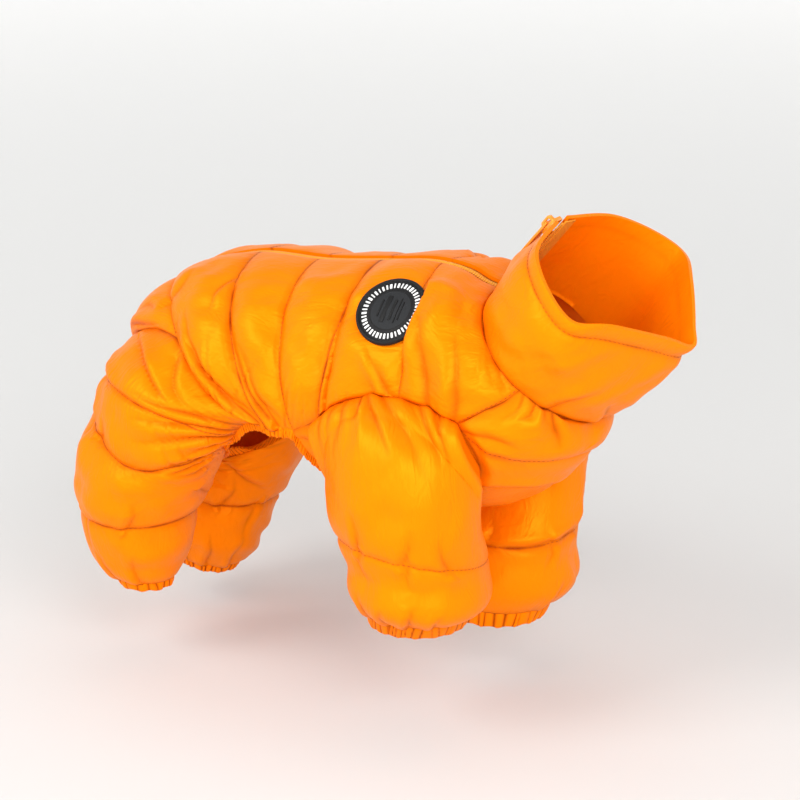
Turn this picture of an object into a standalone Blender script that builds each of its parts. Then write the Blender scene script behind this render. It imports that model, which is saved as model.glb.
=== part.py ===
"""Padded jumpsuit for a small dog, in the hollow form that it has when worn.

Every cloth piece that is cut and sewn is one closed solid: two back panels, a chest and belly
panel, two sleeves, two hind legs, a stand collar, four elastic cuffs and the elastic hem of the
belly opening. A zip runs down the spine, with its pull tab on a hinge, and a rubber badge is
sewn to the right side.

Tables are in millimetres above the floor: +X to the head, +Y to the dog's left, +Z up. The
model is then moved so that its origin lies where the wearer's withers hold it up.
"""

import math
from collections import namedtuple

import bpy
import bmesh
import numpy as np

MM = 0.001
RIGHT, LEFT = -1, 1

# ---------------------------------------------------------------- driving sizes (mm)
HELD_AT = (58.0, 0.0, 221.0)      # inner face of the back, over the withers
WALL = 1.8                        # padded cloth pressed flat at its seams
SEAM_GAP = 0.3                    # clearance between sewn pieces
SEAM_TRIM = 0.24                  # what each of two pieces is drawn back for it
ZIP_EDGE = 4.6                    # half the slot between the two panels at the zip
TAPE_INNER = 1.9                  # tape: from the chain ...
TAPE_OUTER = 9.5                  # ... to under the panels
TAPE_THICK = 0.8
CHAIN_HALF = 1.5
CHAIN_TOP, CHAIN_DEPTH = 0.5, 2.2
SLIDER_PLACE = 0.86               # share of the collar's height at the nape
SLIDER_LENGTH = 10.0
SLIDER_LOW, SLIDER_TOP = 0.9, 2.9  # above the middle of the chain
BRIDGE_HALF = 1.0
HINGE_HEIGHT = 4.25
PULL_LENGTH, PULL_HALF, PULL_THICK = 23.0, 3.4, 1.2
BADGE_RADIUS, BADGE_THICK = 18.0, 1.6
BADGE_BED = 2.6                   # loft left in the padding under the badge
BADGE_SIDES = 28
HEM_WIDTH, HEM_THICK = 5.5, 2.6   # elastic casing round the belly opening
CUFF_THICK = 2.4
ARMHOLE_EASE = 0.5                # the sleeve's seam lies this far inside the armhole's
SLEEVE_CLEARANCE = 12.5           # between the base surfaces of trunk and sleeve

# ---------------------------------------------------------------- trunk
# Rings round the trunk, tail to neck; each lies in the plane through its two mid-line points.
# keel narrows the belly side of a ring to a point.
Ring = namedtuple("Ring", "name s back_x back_z belly_x belly_z half_width keel")
TRUNK = [
    Ring("tail", 0.00, -116, 157, -60, 95, 42, 0.0),
    Ring("croup", 0.10, -107, 181, -45, 100, 51, 0.0),
    Ring("rump", 0.22, -84, 201, -28, 104, 57, 0.0),
    Ring("loin", 0.38, -46, 215, -4, 108, 60, 0.0),
    Ring("waist", 0.52, -6, 217, 26, 109, 58, 0.0),
    Ring("rib", 0.66, 32, 222, 62, 107, 58, 0.0),
    Ring("chest", 0.78, 57, 225, 101, 115, 57, 0.0),
    Ring("shoulder", 0.88, 75, 223, 133, 137, 53, 0.05),
    Ring("base", 0.95, 85, 219, 143, 151, 48, 0.12),
    Ring("neck", 1.00, 94, 217, 145, 161, 45, 0.22),
]

# Lines across a back panel: where each starts at the zip and ends at the lower edge, the rows
# of faces before it, the loft of the padding before it, and whether the line is sewn.
Bay = namedtuple("Bay", "name s_zip s_low rows loft sewn")
BAYS = [
    Bay("tail_hem", 0.000, 0.000, 0, 0.0, True),
    Bay("croup_line", 0.190, 0.260, 5, 5.0, True),
    Bay("flank_corner", 0.390, 0.440, 5, 6.5, True),
    Bay("belly_corner", 0.512, 0.500, 3, 5.5, True),
    Bay("armhole_rear", 0.645, 0.575, 3, 6.0, True),
    Bay("withers_line", 0.812, 0.757, 6, 6.5, True),
    Bay("armhole_front", 0.890, 0.838, 3, 6.5, False),
    Bay("neck_seam", 1.000, 1.000, 4, 6.5, True),
]
BACK_COLUMNS = 7

# Seams on the trunk as (station s, angle from the spine in degrees).
Seam = namedtuple("Seam", "s angle")
BACK_LOWER_EDGE = [
    Seam(0.000, 16), Seam(0.060, 32), Seam(0.130, 44), Seam(0.200, 52), Seam(0.260, 61),
    Seam(0.295, 76), Seam(0.330, 92), Seam(0.385, 103), Seam(0.440, 109), Seam(0.500, 108),
    Seam(0.575, 98), Seam(0.610, 91), Seam(0.647, 87), Seam(0.700, 84), Seam(0.760, 85),
    Seam(0.805, 91), Seam(0.838, 103), Seam(0.900, 102), Seam(1.000, 104),
]
CHEST_EDGE = [
    Seam(0.500, 108), Seam(0.575, 98), Seam(0.593, 112), Seam(0.635, 128), Seam(0.700, 138),
    Seam(0.785, 139), Seam(0.822, 128), Seam(0.838, 103), Seam(0.900, 102), Seam(1.000, 104),
]
# Lines across the chest panel: s at its side edges and on the mid line, then as above.
ChestBay = namedtuple("ChestBay", "name s_side s_mid rows loft sewn")
CHEST_BAYS = [
    ChestBay("belly_hem", 0.500, 0.560, 0, 0.0, True),
    ChestBay("armhole_rear", 0.575, 0.600, 3, 3.5, False),
    ChestBay("armhole_turn", 0.612, 0.655, 2, 3.5, False),
    ChestBay("withers_line", 0.757, 0.835, 5, 3.5, False),
    ChestBay("chest_line", 0.838, 0.915, 3, 3.5, True),
    ChestBay("neck_seam", 1.000, 1.000, 4, 4.0, True),
]
CHEST_COLUMNS = 12

BADGE_AT = Seam(0.748, 43)        # middle of the badge
# The badge's section from its flat face over the raised rim and under: radius and height.
BADGE_PROFILE = [(8.0, 1.6), (14.6, 1.6), (15.3, 2.4), (17.2, 2.4), (18.0, 1.5), (18.0, 0.3),
                 (17.5, 0.0), (9.0, 0.0)]

# ---------------------------------------------------------------- legs
# Rings down a leg: r is the share of the way from the body seam to the cuff. A ring is higher to
# the front by its pitch, to the outer side by its roll, and at front and rear by its arch.
LegRing = namedtuple("LegRing", "name r x y z half_fore half_side pitch roll arch")
LegBay = namedtuple("LegBay", "name r rows loft sewn")
SLEEVE_RIGHT = [
    LegRing("armhole", 0.00, 73, 52, 136, 44, 24, -0.10, 1.25, 8),
    LegRing("upper", 0.30, 70, 54, 122, 36, 28, -0.12, 0.75, 6),
    LegRing("quilt", 0.60, 71, 47, 97, 35, 34, -0.11, 0.15, 0),
    LegRing("lower", 0.86, 74, 44, 76, 29, 29, -0.06, 0.00, 0),
    LegRing("cuff", 1.00, 73, 42, 63, 25, 25, 0.00, 0.00, 0),
]
SLEEVE_LEFT = [
    LegRing("armhole", 0.00, 73, 52, 136, 44, 24, -0.10, 1.25, 8),
    LegRing("upper", 0.30, 71, 54, 118, 36, 28, -0.12, 0.75, 6),
    LegRing("quilt", 0.60, 71, 47, 84, 35, 34, -0.11, 0.15, 0),
    LegRing("lower", 0.86, 72, 44, 56, 29, 29, -0.06, 0.00, 0),
    LegRing("cuff", 1.00, 71, 42, 41, 25, 25, 0.00, 0.00, 0),
]
SLEEVE_BAYS = [
    LegBay("armhole", 0.00, 0, 0.0, True),
    LegBay("quilt", 0.60, 6, 4.0, True),
    LegBay("cuff", 1.00, 5, 4.5, True),
]
# A hind ring also has the turns, in degrees, at which its cloth starts inside the front of the
# thigh and ends behind it; at the crotch both reach the inseam, which runs on to the cuff.
HindRing = namedtuple("HindRing", "name r x y z half_fore half_side pitch roll arch front rear")
LEG_RIGHT = [
    HindRing("hip", 0.00, -62, 42, 152, 42, 28, -0.10, 0.10, 0, 20, 212),
    HindRing("thigh", 0.24, -65, 43, 142, 38, 31, -0.08, 0.12, 0, 12, 210),
    HindRing("knee", 0.48, -76, 44, 117, 35, 30, -0.17, 0.00, 16, 0, 208),
    HindRing("crotch", 0.62, -87, 45, 103, 31, 30, -0.14, 0.05, 9, -90, 270),
    HindRing("shin", 0.78, -94, 44, 82, 28, 28, -0.05, 0.00, 3, -90, 270),
    HindRing("hock", 0.92, -95, 42, 58, 20, 20, 0.00, 0.00, 0, -90, 270),
    HindRing("cuff", 1.00, -93, 42, 46, 14, 14, 0.00, 0.00, 0, -90, 270),
]
LEG_LEFT = [
    HindRing("hip", 0.00, -62, 42, 152, 42, 28, -0.10, 0.10, 0, 20, 212),
    HindRing("thigh", 0.24, -65, 43, 142, 38, 31, -0.08, 0.12, 0, 12, 210),
    HindRing("knee", 0.48, -78, 44, 114, 36, 30, -0.17, 0.00, 16, 0, 208),
    HindRing("crotch", 0.62, -92, 45, 94, 32, 30, -0.18, 0.05, 6, -90, 270),
    HindRing("shin", 0.78, -103, 44, 67, 27, 27, -0.20, 0.00, 2, -90, 270),
    HindRing("hock", 0.92, -111, 42, 41, 22, 22, -0.22, 0.00, 0, -90, 270),
    HindRing("cuff", 1.00, -114, 42, 27, 17, 17, -0.22, 0.00, 0, -90, 270),
]
LEG_BAYS = [
    LegBay("hip", 0.00, 0, 0.0, True),
    LegBay("thigh", 0.24, 3, 3.5, True),
    LegBay("knee", 0.48, 3, 4.5, True),
    LegBay("crotch", 0.62, 2, 4.5, False),
    LegBay("shin", 0.78, 3, 4.5, True),
    LegBay("cuff", 1.00, 4, 4.0, True),
]
FORE_CUFF, HIND_CUFF = 9.0, 5.0   # heights of the elastic cuffs

# ---------------------------------------------------------------- collar
# The collar's rim: angle round the neck from the nape, over the right side, then distances from
# the neck ring's centre along the ring's own up, side and outward directions.
RimPoint = namedtuple("RimPoint", "name angle up side out")
RIM = [
    RimPoint("nape", 0, 46, 0, 48),
    RimPoint("right_nape", 45, 34, -37, 48),
    RimPoint("right", 90, 1, -51, 51),
    RimPoint("right_cheek", 135, -15, -38, 62),
    RimPoint("right_corner", 163, -31, -13, 65),
    RimPoint("corner", 180, -39, 1, 65),
    RimPoint("left_corner", 197, -31, 9, 67),
    RimPoint("left_cheek", 225, -13, 27, 69),
    RimPoint("left", 270, 6, 49, 62),
    RimPoint("left_nape", 315, 34, 37, 52),
    RimPoint("nape_again", 360, 46, 0, 48),
]
COLLAR_ROWS = 5
COLLAR_STITCH = 0.86              # the row of stitching under the rim, as a share of the height


# ---------------------------------------------------------------- curves
def column(rows, *names):
    """The named columns of a table as an array, one line for each row."""
    return np.array([[getattr(row, name) for name in names] for row in rows], float)


def glide(knots, values, at):
    """A smooth curve through the values at the knots, read at the given places."""
    at = np.clip(np.asarray(at, float), knots[0], knots[-1])
    step = np.diff(knots)
    slope = np.diff(values, axis=0) / step[:, None]
    tangent = np.vstack([slope[:1], np.zeros_like(values[2:]), slope[-1:]])
    before, after = step[:-1, None], step[1:, None]
    tangent[1:-1] = (slope[:-1] * after + slope[1:] * before) / (before + after)
    i = np.clip(np.searchsorted(knots, at, side="right") - 1, 0, len(knots) - 2)
    width = step[i][..., None]
    t = (at - knots[i])[..., None] / width
    ease = t * t * (3 - 2 * t)
    lead = t * (1 - t) ** 2 * width
    trail = t * t * (t - 1) * width
    return values[i] * (1 - ease) + values[i + 1] * ease + tangent[i] * lead + tangent[i + 1] * trail


def read(rows, key, names, at):
    """Read named columns of a table as smooth curves over its key column."""
    return glide(column(rows, key)[:, 0], column(rows, *names), at)


def unit(vectors):
    """Vectors scaled to length one."""
    return vectors / np.maximum(np.linalg.norm(vectors, axis=-1, keepdims=True), 1e-9)


def trunk(s, angle, side):
    """Point of the trunk at station s, at an angle in degrees from the spine."""
    names = ("back_x", "back_z", "belly_x", "belly_z", "half_width", "keel")
    ring = read(TRUNK, "s", names, s)
    turn = np.radians(np.asarray(angle, float))
    back, belly = ring[..., 0:2], ring[..., 2:4]
    half = ring[..., 4] * (1 - ring[..., 5] * ((1 - np.cos(turn)) / 2) ** 2)
    mid = (back + belly) / 2 + (back - belly) / 2 * np.cos(turn)[..., None]
    return np.stack([mid[..., 0], side * half * np.sin(turn), mid[..., 1]], axis=-1)


def seam_angle(edge, s):
    """Angle of a seam at station s, straight between its table's rows."""
    return np.interp(s, column(edge, "s")[:, 0], column(edge, "angle")[:, 0])


def dome(share, power):
    """Rise from 0 at both ends of a bay to 1 at its middle."""
    return np.sin(np.pi * np.clip(share, 0, 1)) ** power


# ---------------------------------------------------------------- panels
class Panel:
    """A cloth piece: a grid of points, the loft of its padding and its outward normals."""

    def __init__(self, name, points, loft, inside, closed=False):
        self.name, self.points, self.loft, self.closed = name, points, loft, closed
        self.normals = self.outward(inside)

    def outward(self, inside):
        """Normals of the grid, turned away from the points of its axis."""
        if self.closed:
            ring = np.concatenate([self.points[:, -1:], self.points, self.points[:, :1]], axis=1)
            across = (ring[:, 2:] - ring[:, :-2]) / 2
        else:
            across = np.gradient(self.points, axis=1)
        along = np.gradient(self.points, axis=0)
        normals = unit(np.cross(along, across))
        middle = self.points.shape[0] // 2
        facing = np.sum(normals[middle] * (self.points[middle] - inside))
        return normals if facing > 0 else -normals

    def edges(self):
        """The grid's edges as pairs of index tuples: the edge and the line inside it."""
        pairs = [((0, slice(None)), (1, slice(None))), ((-1, slice(None)), (-2, slice(None)))]
        if not self.closed:
            pairs += [((slice(None), 0), (slice(None), 1)), ((slice(None), -1), (slice(None), -2))]
        return pairs

    def trim(self):
        """Draw every edge back by half the seam gap, along the cloth."""
        moves = np.zeros_like(self.points)
        for edge, inner in self.edges():
            tangent = unit(np.gradient(self.points[edge], axis=0))
            inward = self.points[inner] - self.points[edge]
            inward -= np.sum(inward * tangent, axis=-1, keepdims=True) * tangent
            moves[edge] += unit(inward) * SEAM_TRIM
        self.points = self.points + moves

    def face(self, offset, padded):
        """The grid moved out by an offset, with the padding's loft if it is padded."""
        return self.points + self.normals * (offset + (self.loft[..., None] if padded else 0.0))

    def solid(self):
        """Vertices and faces of the closed wall."""
        rows, columns = self.points.shape[:2]
        outer, inner = self.face(WALL / 2, True), self.face(-WALL / 2, False)
        vertices = np.concatenate([outer.reshape(-1, 3), inner.reshape(-1, 3)])
        return vertices, wall_faces(rows, columns, self.closed)


def wall_faces(rows, columns, closed):
    """Quads of a two-layer wall over a grid, with its rims closed."""
    layer = rows * columns
    spans = columns if closed else columns - 1
    faces = []
    for i in range(rows - 1):
        for j in range(spans):
            a, b = i * columns + j, i * columns + (j + 1) % columns
            c, d = b + columns, a + columns
            faces.append((a, b, c, d))
            faces.append((layer + a, layer + d, layer + c, layer + b))
    for j in range(spans):
        k = (j + 1) % columns
        last = (rows - 1) * columns
        faces.append((j, layer + j, layer + k, k))
        faces.append((last + j, last + k, layer + last + k, layer + last + j))
    if not closed:
        for i in range(rows - 1):
            a, d = i * columns, (i + 1) * columns
            faces.append((a, d, layer + d, layer + a))
            a, d = a + columns - 1, d + columns - 1
            faces.append((a, layer + a, layer + d, d))
    return faces


def weld_normals(panels):
    """Where pieces share a seam, give their points one common normal."""
    total = {}
    for panel in panels:
        for edge, _ in panel.edges():
            for point, normal in zip(panel.points[edge], panel.normals[edge]):
                key = tuple(np.round(point, 1))
                total[key] = total.get(key, 0) + normal
    for panel in panels:
        for edge, _ in panel.edges():
            keys = [tuple(np.round(point, 1)) for point in panel.points[edge]]
            panel.normals[edge] = unit(np.array([total[key] for key in keys]))


def bay_grid(bays, names):
    """Values of the rows of faces between the lines, and the loft of the padding at each row."""
    at_line = np.cumsum([bay.rows for bay in bays])
    rows = np.arange(at_line[-1] + 1)
    values = np.stack([np.interp(rows, at_line, ends) for ends in column(bays, *names).T], axis=1)
    sewn = np.array([line for line, bay in zip(at_line, bays) if bay.sewn])
    place = np.interp(rows, sewn, np.arange(len(sewn))) % 1
    loft = np.array([bays[np.searchsorted(at_line, row)].loft for row in rows])
    return values, loft * dome(place, 0.6)


def line_row(bays, name):
    """Row of faces at which a named line lies."""
    names = [bay.name for bay in bays]
    return sum(bay.rows for bay in bays[:names.index(name) + 1])


def zip_angle(s):
    """Angle of the zip's slot edge at station s, in degrees."""
    half = read(TRUNK, "s", ("half_width",), s)[..., 0]
    return np.degrees(np.arcsin(ZIP_EDGE / half))


def back_panel(side):
    """A back panel, from the zip to the hip, flank, armhole and shoulder seams."""
    values, loft = bay_grid(BAYS, ("s_zip", "s_low"))
    v = np.linspace(0, 1, BACK_COLUMNS + 1)[None, :]
    s = values[:, :1] + (values[:, 1:] - values[:, :1]) * v
    low = seam_angle(BACK_LOWER_EDGE, values[:, 1])[:, None]
    angle = zip_angle(s) * (1 - v) + low * v
    points = trunk(s, angle, side)
    loft = loft[:, None] * dome(v, 0.35)
    inside = np.array([0.0, 0.0, 160.0])
    return Panel("back_" + side_name(side), points, loft, inside)


def chest_panel():
    """The chest and belly panel, from one side's seams across the belly to the other's."""
    values, loft = bay_grid(CHEST_BAYS, ("s_side", "s_mid"))
    v = np.linspace(-1, 1, CHEST_COLUMNS + 1)[None, :]
    across = np.cos(v * np.pi / 2) ** 2
    s = values[:, :1] + (values[:, 1:] - values[:, :1]) * across
    edge = seam_angle(CHEST_EDGE, values[:, 0])[:, None]
    angle = 180 + (180 - edge) * v
    points = trunk(s, angle, RIGHT)
    loft = loft[:, None] * dome((v + 1) / 2, 1.3)
    return Panel("chest_panel", points, loft, np.array([80.0, 0.0, 170.0]))


def leg_point(ring, turns, side):
    """Points of leg rings, from the columns x to arch, at turns in degrees from the front."""
    turn = np.radians(turns)
    fore, out = ring[..., 3] * np.cos(turn), ring[..., 4] * np.sin(turn)
    rise = ring[..., 5] * fore + ring[..., 6] * out + ring[..., 7] * np.cos(turn) ** 2
    return np.stack([ring[..., 0] + fore, side * (ring[..., 1] + out), ring[..., 2] + rise], axis=-1)


def settle(top, points, r, reach, late=0.0):
    """Ease a leg's points away from the seam curve that it is sewn to, later where late is 1."""
    share = np.clip(r / reach, 0, 1)
    share = share * (2 - share) * (1 - late) + share * share * (3 - 2 * share) * late
    return top[None] * (1 - share[..., None]) + points * share[..., None]


def clear_of_trunk(points, clearance):
    """Move points that are within or too near the trunk out along its surface's normal."""
    s, angle = np.meshgrid(np.linspace(0.4, 1, 61), np.linspace(60, 180, 61), indexing="ij")
    side = RIGHT if points[..., 1].mean() < 0 else LEFT
    surface = trunk(s, angle, side)
    normals = unit(np.cross(np.gradient(surface, axis=0), np.gradient(surface, axis=1)))
    normals *= np.sign(np.sum(normals * (surface - [60, 0, 165]), axis=-1, keepdims=True))
    surface, normals = surface.reshape(-1, 3), normals.reshape(-1, 3)
    moved = points.copy()
    for i in range(1, points.shape[0]):
        away = np.linalg.norm(points[i][:, None] - surface[None], axis=-1)
        nearest = np.argmin(away, axis=1)
        normal = normals[nearest]
        depth = np.sum((points[i] - surface[nearest]) * normal, axis=-1)
        moved[i] += normal * np.clip(clearance[i] - depth, 0, None)[:, None]
    return moved


def side_name(side):
    """The word for a side of the dog."""
    return "right" if side == RIGHT else "left"


def sleeve(side, back, chest):
    """A sleeve, from the armhole's rear corner over its top and back under it."""
    upper = back.points[line_row(BAYS, "armhole_rear"):line_row(BAYS, "armhole_front") + 1, -1]
    edge = 0 if side == RIGHT else -1
    rear, front = line_row(CHEST_BAYS, "armhole_rear"), line_row(CHEST_BAYS, "chest_line")
    lower = chest.points[rear:front + 1, edge][::-1]
    top = np.concatenate([upper, lower[1:-1]])
    turns = np.concatenate([np.linspace(180, 0, len(upper)),
                            np.linspace(0, -180, len(lower))[1:-1]])
    r, loft = bay_grid(SLEEVE_BAYS, ("r",))
    rings = SLEEVE_RIGHT if side == RIGHT else SLEEVE_LEFT
    names = ("x", "y", "z", "half_fore", "half_side", "pitch", "roll", "arch")
    under = np.clip(1 - 1.5 * np.sin(np.radians(turns)), 0, 1)
    points = leg_point(read(rings, "r", names, r), turns[None], side)
    points = settle(top, points, r, 0.42, under)
    points = clear_of_trunk(points, SLEEVE_CLEARANCE * (1 - np.exp(-r[:, 0] / 0.07)))
    loft = loft[:, None] * (1 - 0.55 * under)[None]
    inside = points.mean(axis=1)[len(points) // 2]
    return Panel("sleeve_" + side_name(side), points, loft, inside, closed=True)


def halved(line):
    """A line with a point added in the middle of every step."""
    finer = np.repeat(line, 2, axis=0)[:-1]
    finer[1::2] = (line[:-1] + line[1:]) / 2
    return finer


def hind_leg(side, back):
    """A hind leg, wrapped from the front of the thigh round its outer side to the inseam."""
    hip = halved(back.points[:line_row(BAYS, "flank_corner") + 1, -1])[::-1]
    r, loft = bay_grid(LEG_BAYS, ("r",))
    rings = LEG_RIGHT if side == RIGHT else LEG_LEFT
    names = ("x", "y", "z", "half_fore", "half_side", "pitch", "roll", "arch", "front", "rear")
    ring = read(rings, "r", names, r)
    w = np.linspace(0, 1, len(hip))[None]
    ends = np.stack([np.interp(r, column(rings, "r")[:, 0], column(rings, name)[:, 0])
                     for name in ("front", "rear")])
    turns = ends[0] * (1 - w) + ends[1] * w
    points = settle(hip, leg_point(ring, turns, side), r, 0.24)
    loft = loft[:, None] * dome(w, 0.25)
    closed = r[:, 0] > 0.7
    loft[closed] = bay_grid(LEG_BAYS, ("r",))[1][closed, None]
    inside = points.mean(axis=1)[len(points) // 2]
    return Panel("leg_" + side_name(side), points, loft, inside)


def neck_frame():
    """Centre of the neck ring and its up, side and outward directions."""
    ring = TRUNK[-1]
    back = np.array([ring.back_x, 0.0, ring.back_z])
    belly = np.array([ring.belly_x, 0.0, ring.belly_z])
    up = unit(back - belly)
    return (back + belly) / 2, up, np.array([0.0, 1.0, 0.0]), np.array([up[2], 0.0, -up[0]])


def collar_panel(backs, chest):
    """The stand collar, from the right of the zip round the neck to the left of it."""
    right, left = backs[RIGHT].points[-1], backs[LEFT].points[-1]
    neck = np.concatenate([right, chest.points[-1][1:-1], left[::-1]])
    centre, up, across, out = neck_frame()
    local = neck - centre
    turn = np.degrees(np.arctan2(-local @ across, local @ up)) % 360
    slot = np.degrees(math.asin(ZIP_EDGE / 52.0))
    turn[0], turn[-1] = slot, 360 - slot
    rim = read(RIM, "angle", ("up", "side", "out"), turn)
    edge = centre + rim[:, :1] * up + rim[:, 1:2] * across + rim[:, 2:] * out
    edge[0, 1], edge[-1, 1] = -ZIP_EDGE, ZIP_EDGE
    shares = np.concatenate([np.linspace(0, COLLAR_STITCH, COLLAR_ROWS), [0.93, 1.0]])
    share = shares[:, None, None]
    points = neck[None] * (1 - share) + edge[None] * share
    belly = dome(np.clip(shares / COLLAR_STITCH, 0, 1), 0.6)
    loft = (belly * 5.0)[:, None] * dome(np.linspace(0, 1, len(neck)), 0.2)[None, :]
    loft[-2] = 1.2
    return Panel("collar", points, loft, centre + out * 30)


# ---------------------------------------------------------------- casings
def ring_band(line, normals, down, start, width, thick):
    """A casing along a closed line: vertices and faces of its four-sided section."""
    inner, outer = line - normals * thick / 2, line + normals * thick / 2
    near, far = down * start, down * (start + width)
    return tube_loops([outer + near, outer + far, inner + far, inner + near])


def tube_loops(loops):
    """Join closed loops of equal length into one closed ring-shaped body."""
    count, size = len(loops), len(loops[0])
    faces = []
    for i in range(count):
        a, b = i * size, (i + 1) % count * size
        faces += [(a + j, a + (j + 1) % size, b + (j + 1) % size, b + j) for j in range(size)]
    return np.concatenate(loops), faces


def cuff(leg, height):
    """The elastic casing that draws in the end of a leg."""
    line, above = leg.points[-1], leg.points[-2]
    if not leg.closed:
        line, above = line[:-1], above[:-1]
    centre = line.mean(axis=0)
    axis = unit(centre - above.mean(axis=0))
    radial = unit(line - centre)
    down = unit(np.broadcast_to(axis, line.shape) - radial * 0.22)
    return ring_band(line - radial * 0.3, radial, down, 2 * SEAM_GAP, height, CUFF_THICK)


def hem_line(backs, legs, chest):
    """The closed edge of the belly opening: points, their normals and directions outward."""
    flank, belly = line_row(BAYS, "flank_corner"), line_row(BAYS, "belly_corner")

    def side_run(side):
        back, leg = backs[side], legs[side]
        crotch = line_row(LEG_BAYS, "crotch")
        rear = [(leg.points[i, -1], leg.normals[i, -1], leg.points[i, -2])
                for i in range(1, crotch)]
        front = [(leg.points[i, 0], leg.normals[i, 0], leg.points[i, 1])
                 for i in range(crotch, 0, -1)]
        edge = [(back.points[i, -1], back.normals[i, -1], back.points[i, -2])
                for i in range(flank, belly)]
        return rear + front + edge

    right, left = side_run(RIGHT), side_run(LEFT)
    front = [(chest.points[0, j], chest.normals[0, j], chest.points[1, j])
             for j in range(chest.points.shape[1])]
    tail = [(backs[side].points[0, j], backs[side].normals[0, j], backs[side].points[1, j])
            for side, columns in ((LEFT, range(BACK_COLUMNS, -1, -1)),
                                  (RIGHT, range(BACK_COLUMNS + 1)))
            for j in columns]
    loop = right + front + left[::-1] + tail
    line, normals, inside = (np.array([row[k] for row in loop]) for k in range(3))
    tangent = unit(np.roll(line, -1, axis=0) - np.roll(line, 1, axis=0))
    outward = line - inside
    outward -= np.sum(outward * tangent, axis=-1, keepdims=True) * tangent
    return line, normals, unit(outward)


def opening_hem(backs, legs, chest):
    """The elastic casing round the belly and tail opening."""
    line, normals, down = hem_line(backs, legs, chest)
    for _ in range(3):
        down = unit(np.roll(down, 1, axis=0) + down * 1.5 + np.roll(down, -1, axis=0))
        normals = unit(np.roll(normals, 1, axis=0) + normals * 1.5 + np.roll(normals, -1, axis=0))
    return ring_band(line, normals, down, 2 * SEAM_GAP, HEM_WIDTH, HEM_THICK)


# ---------------------------------------------------------------- zip
class ZipLine:
    """The zip's run from the tail to the collar's rim, with its slot edges and normals."""

    def __init__(self, backs, collar):
        def run(side, column, inner):
            back, edge = backs[side], (0 if side == RIGHT else -1)
            step = 1 if side == RIGHT else -1
            collar_column = edge + step * column
            data = inner(back)[:, column], inner(collar)[1:, collar_column]
            return np.concatenate(data)

        def points(panel):
            return panel.points

        def normals(panel):
            return panel.normals

        self.edge = {side: run(side, 0, points) for side in (RIGHT, LEFT)}
        self.next = {side: run(side, 1, points) for side in (RIGHT, LEFT)}
        self.edge_normal = {side: run(side, 0, normals) for side in (RIGHT, LEFT)}
        self.centre = (self.edge[RIGHT] + self.edge[LEFT]) / 2
        self.normal = unit((self.edge_normal[RIGHT] + self.edge_normal[LEFT]) * [1.0, 0.0, 1.0])
        self.neck = backs[RIGHT].points.shape[0] - 1

    def shortened(self, rows):
        """Rows with the first and last drawn in, clear of the hem casing and the rim."""
        rows = rows.copy()
        rows[0] = rows[0] * 0.85 + rows[1] * 0.15
        rows[-1] = rows[-1] * 0.75 + rows[-2] * 0.25
        return rows

    def bar(self, corners):
        """A bar along the zip from the four corner lines of its section."""
        lines = [self.shortened(line) for line in corners]
        count = len(lines[0])
        faces = []
        for k in range(4):
            a, b = k * count, (k + 1) % 4 * count
            faces += [(a + i, b + i, b + i + 1, a + i + 1) for i in range(count - 1)]
        faces.append(tuple(k * count for k in (3, 2, 1, 0)))
        faces.append(tuple(k * count + count - 1 for k in range(4)))
        return np.concatenate(lines), faces

    def tape(self, side):
        """One tape, from beside the chain to under its panel."""
        near = self.centre + (self.edge[side] - self.centre) * (TAPE_INNER / ZIP_EDGE)
        far = self.edge[side] + unit(self.next[side] - self.edge[side]) * (TAPE_OUTER - ZIP_EDGE)
        top, bottom = -WALL / 2 - SEAM_GAP, -WALL / 2 - SEAM_GAP - TAPE_THICK
        normal = self.edge_normal[side]
        return self.bar([near + self.normal * top, far + normal * top,
                         far + normal * bottom, near + self.normal * bottom])

    def chain(self):
        """The closed chain between the tapes."""
        aside = np.array([0.0, CHAIN_HALF, 0.0])
        top, bottom = self.normal * CHAIN_TOP, self.normal * (CHAIN_TOP - CHAIN_DEPTH)
        return self.bar([self.centre + aside + top, self.centre - aside + top,
                         self.centre - aside + bottom, self.centre + aside + bottom])

    def slider_frame(self):
        """Origin on the chain, and the along, across and outward directions of the slider."""
        foot, rim = self.centre[self.neck], self.centre[-1]
        along = unit(rim - foot)
        out = np.array([-along[2], 0.0, along[0]])
        origin = foot + (rim - foot) * SLIDER_PLACE
        near = np.argmin(np.linalg.norm(self.centre - origin, axis=1))
        origin = origin + out * max(0.0, (self.centre[near] - origin) @ out)
        return origin, along, np.array([0.0, 1.0, 0.0]), out


def extruded(outline, hole, low, high):
    """A plate from an outline, with a hole of equal point count or none, between two heights."""
    count = len(outline)
    rings = [outline] if hole is None else [outline, hole]
    vertices = [(x, y, z) for z in (high, low) for ring in rings for x, y in ring]
    layer = count * len(rings)
    faces = [(i, (i + 1) % count, layer + (i + 1) % count, layer + i) for i in range(count)]
    if hole is None:
        faces += [tuple(range(count))[::-1], tuple(range(count, 2 * count))]
        return vertices, faces
    for i in range(count):
        j = (i + 1) % count
        faces.append((count + j, count + i, layer + count + i, layer + count + j))
        faces.append((i, count + i, count + j, j))
        faces.append((layer + i, layer + j, layer + count + j, layer + count + i))
    return vertices, faces


def placed(vertices, frame, order):
    """Local vertices, whose axes are named by order, set in the slider's frame."""
    origin, *axes = frame
    return [origin + sum(v[k] * axes[order[k]] for k in range(3)) for v in vertices]


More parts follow.
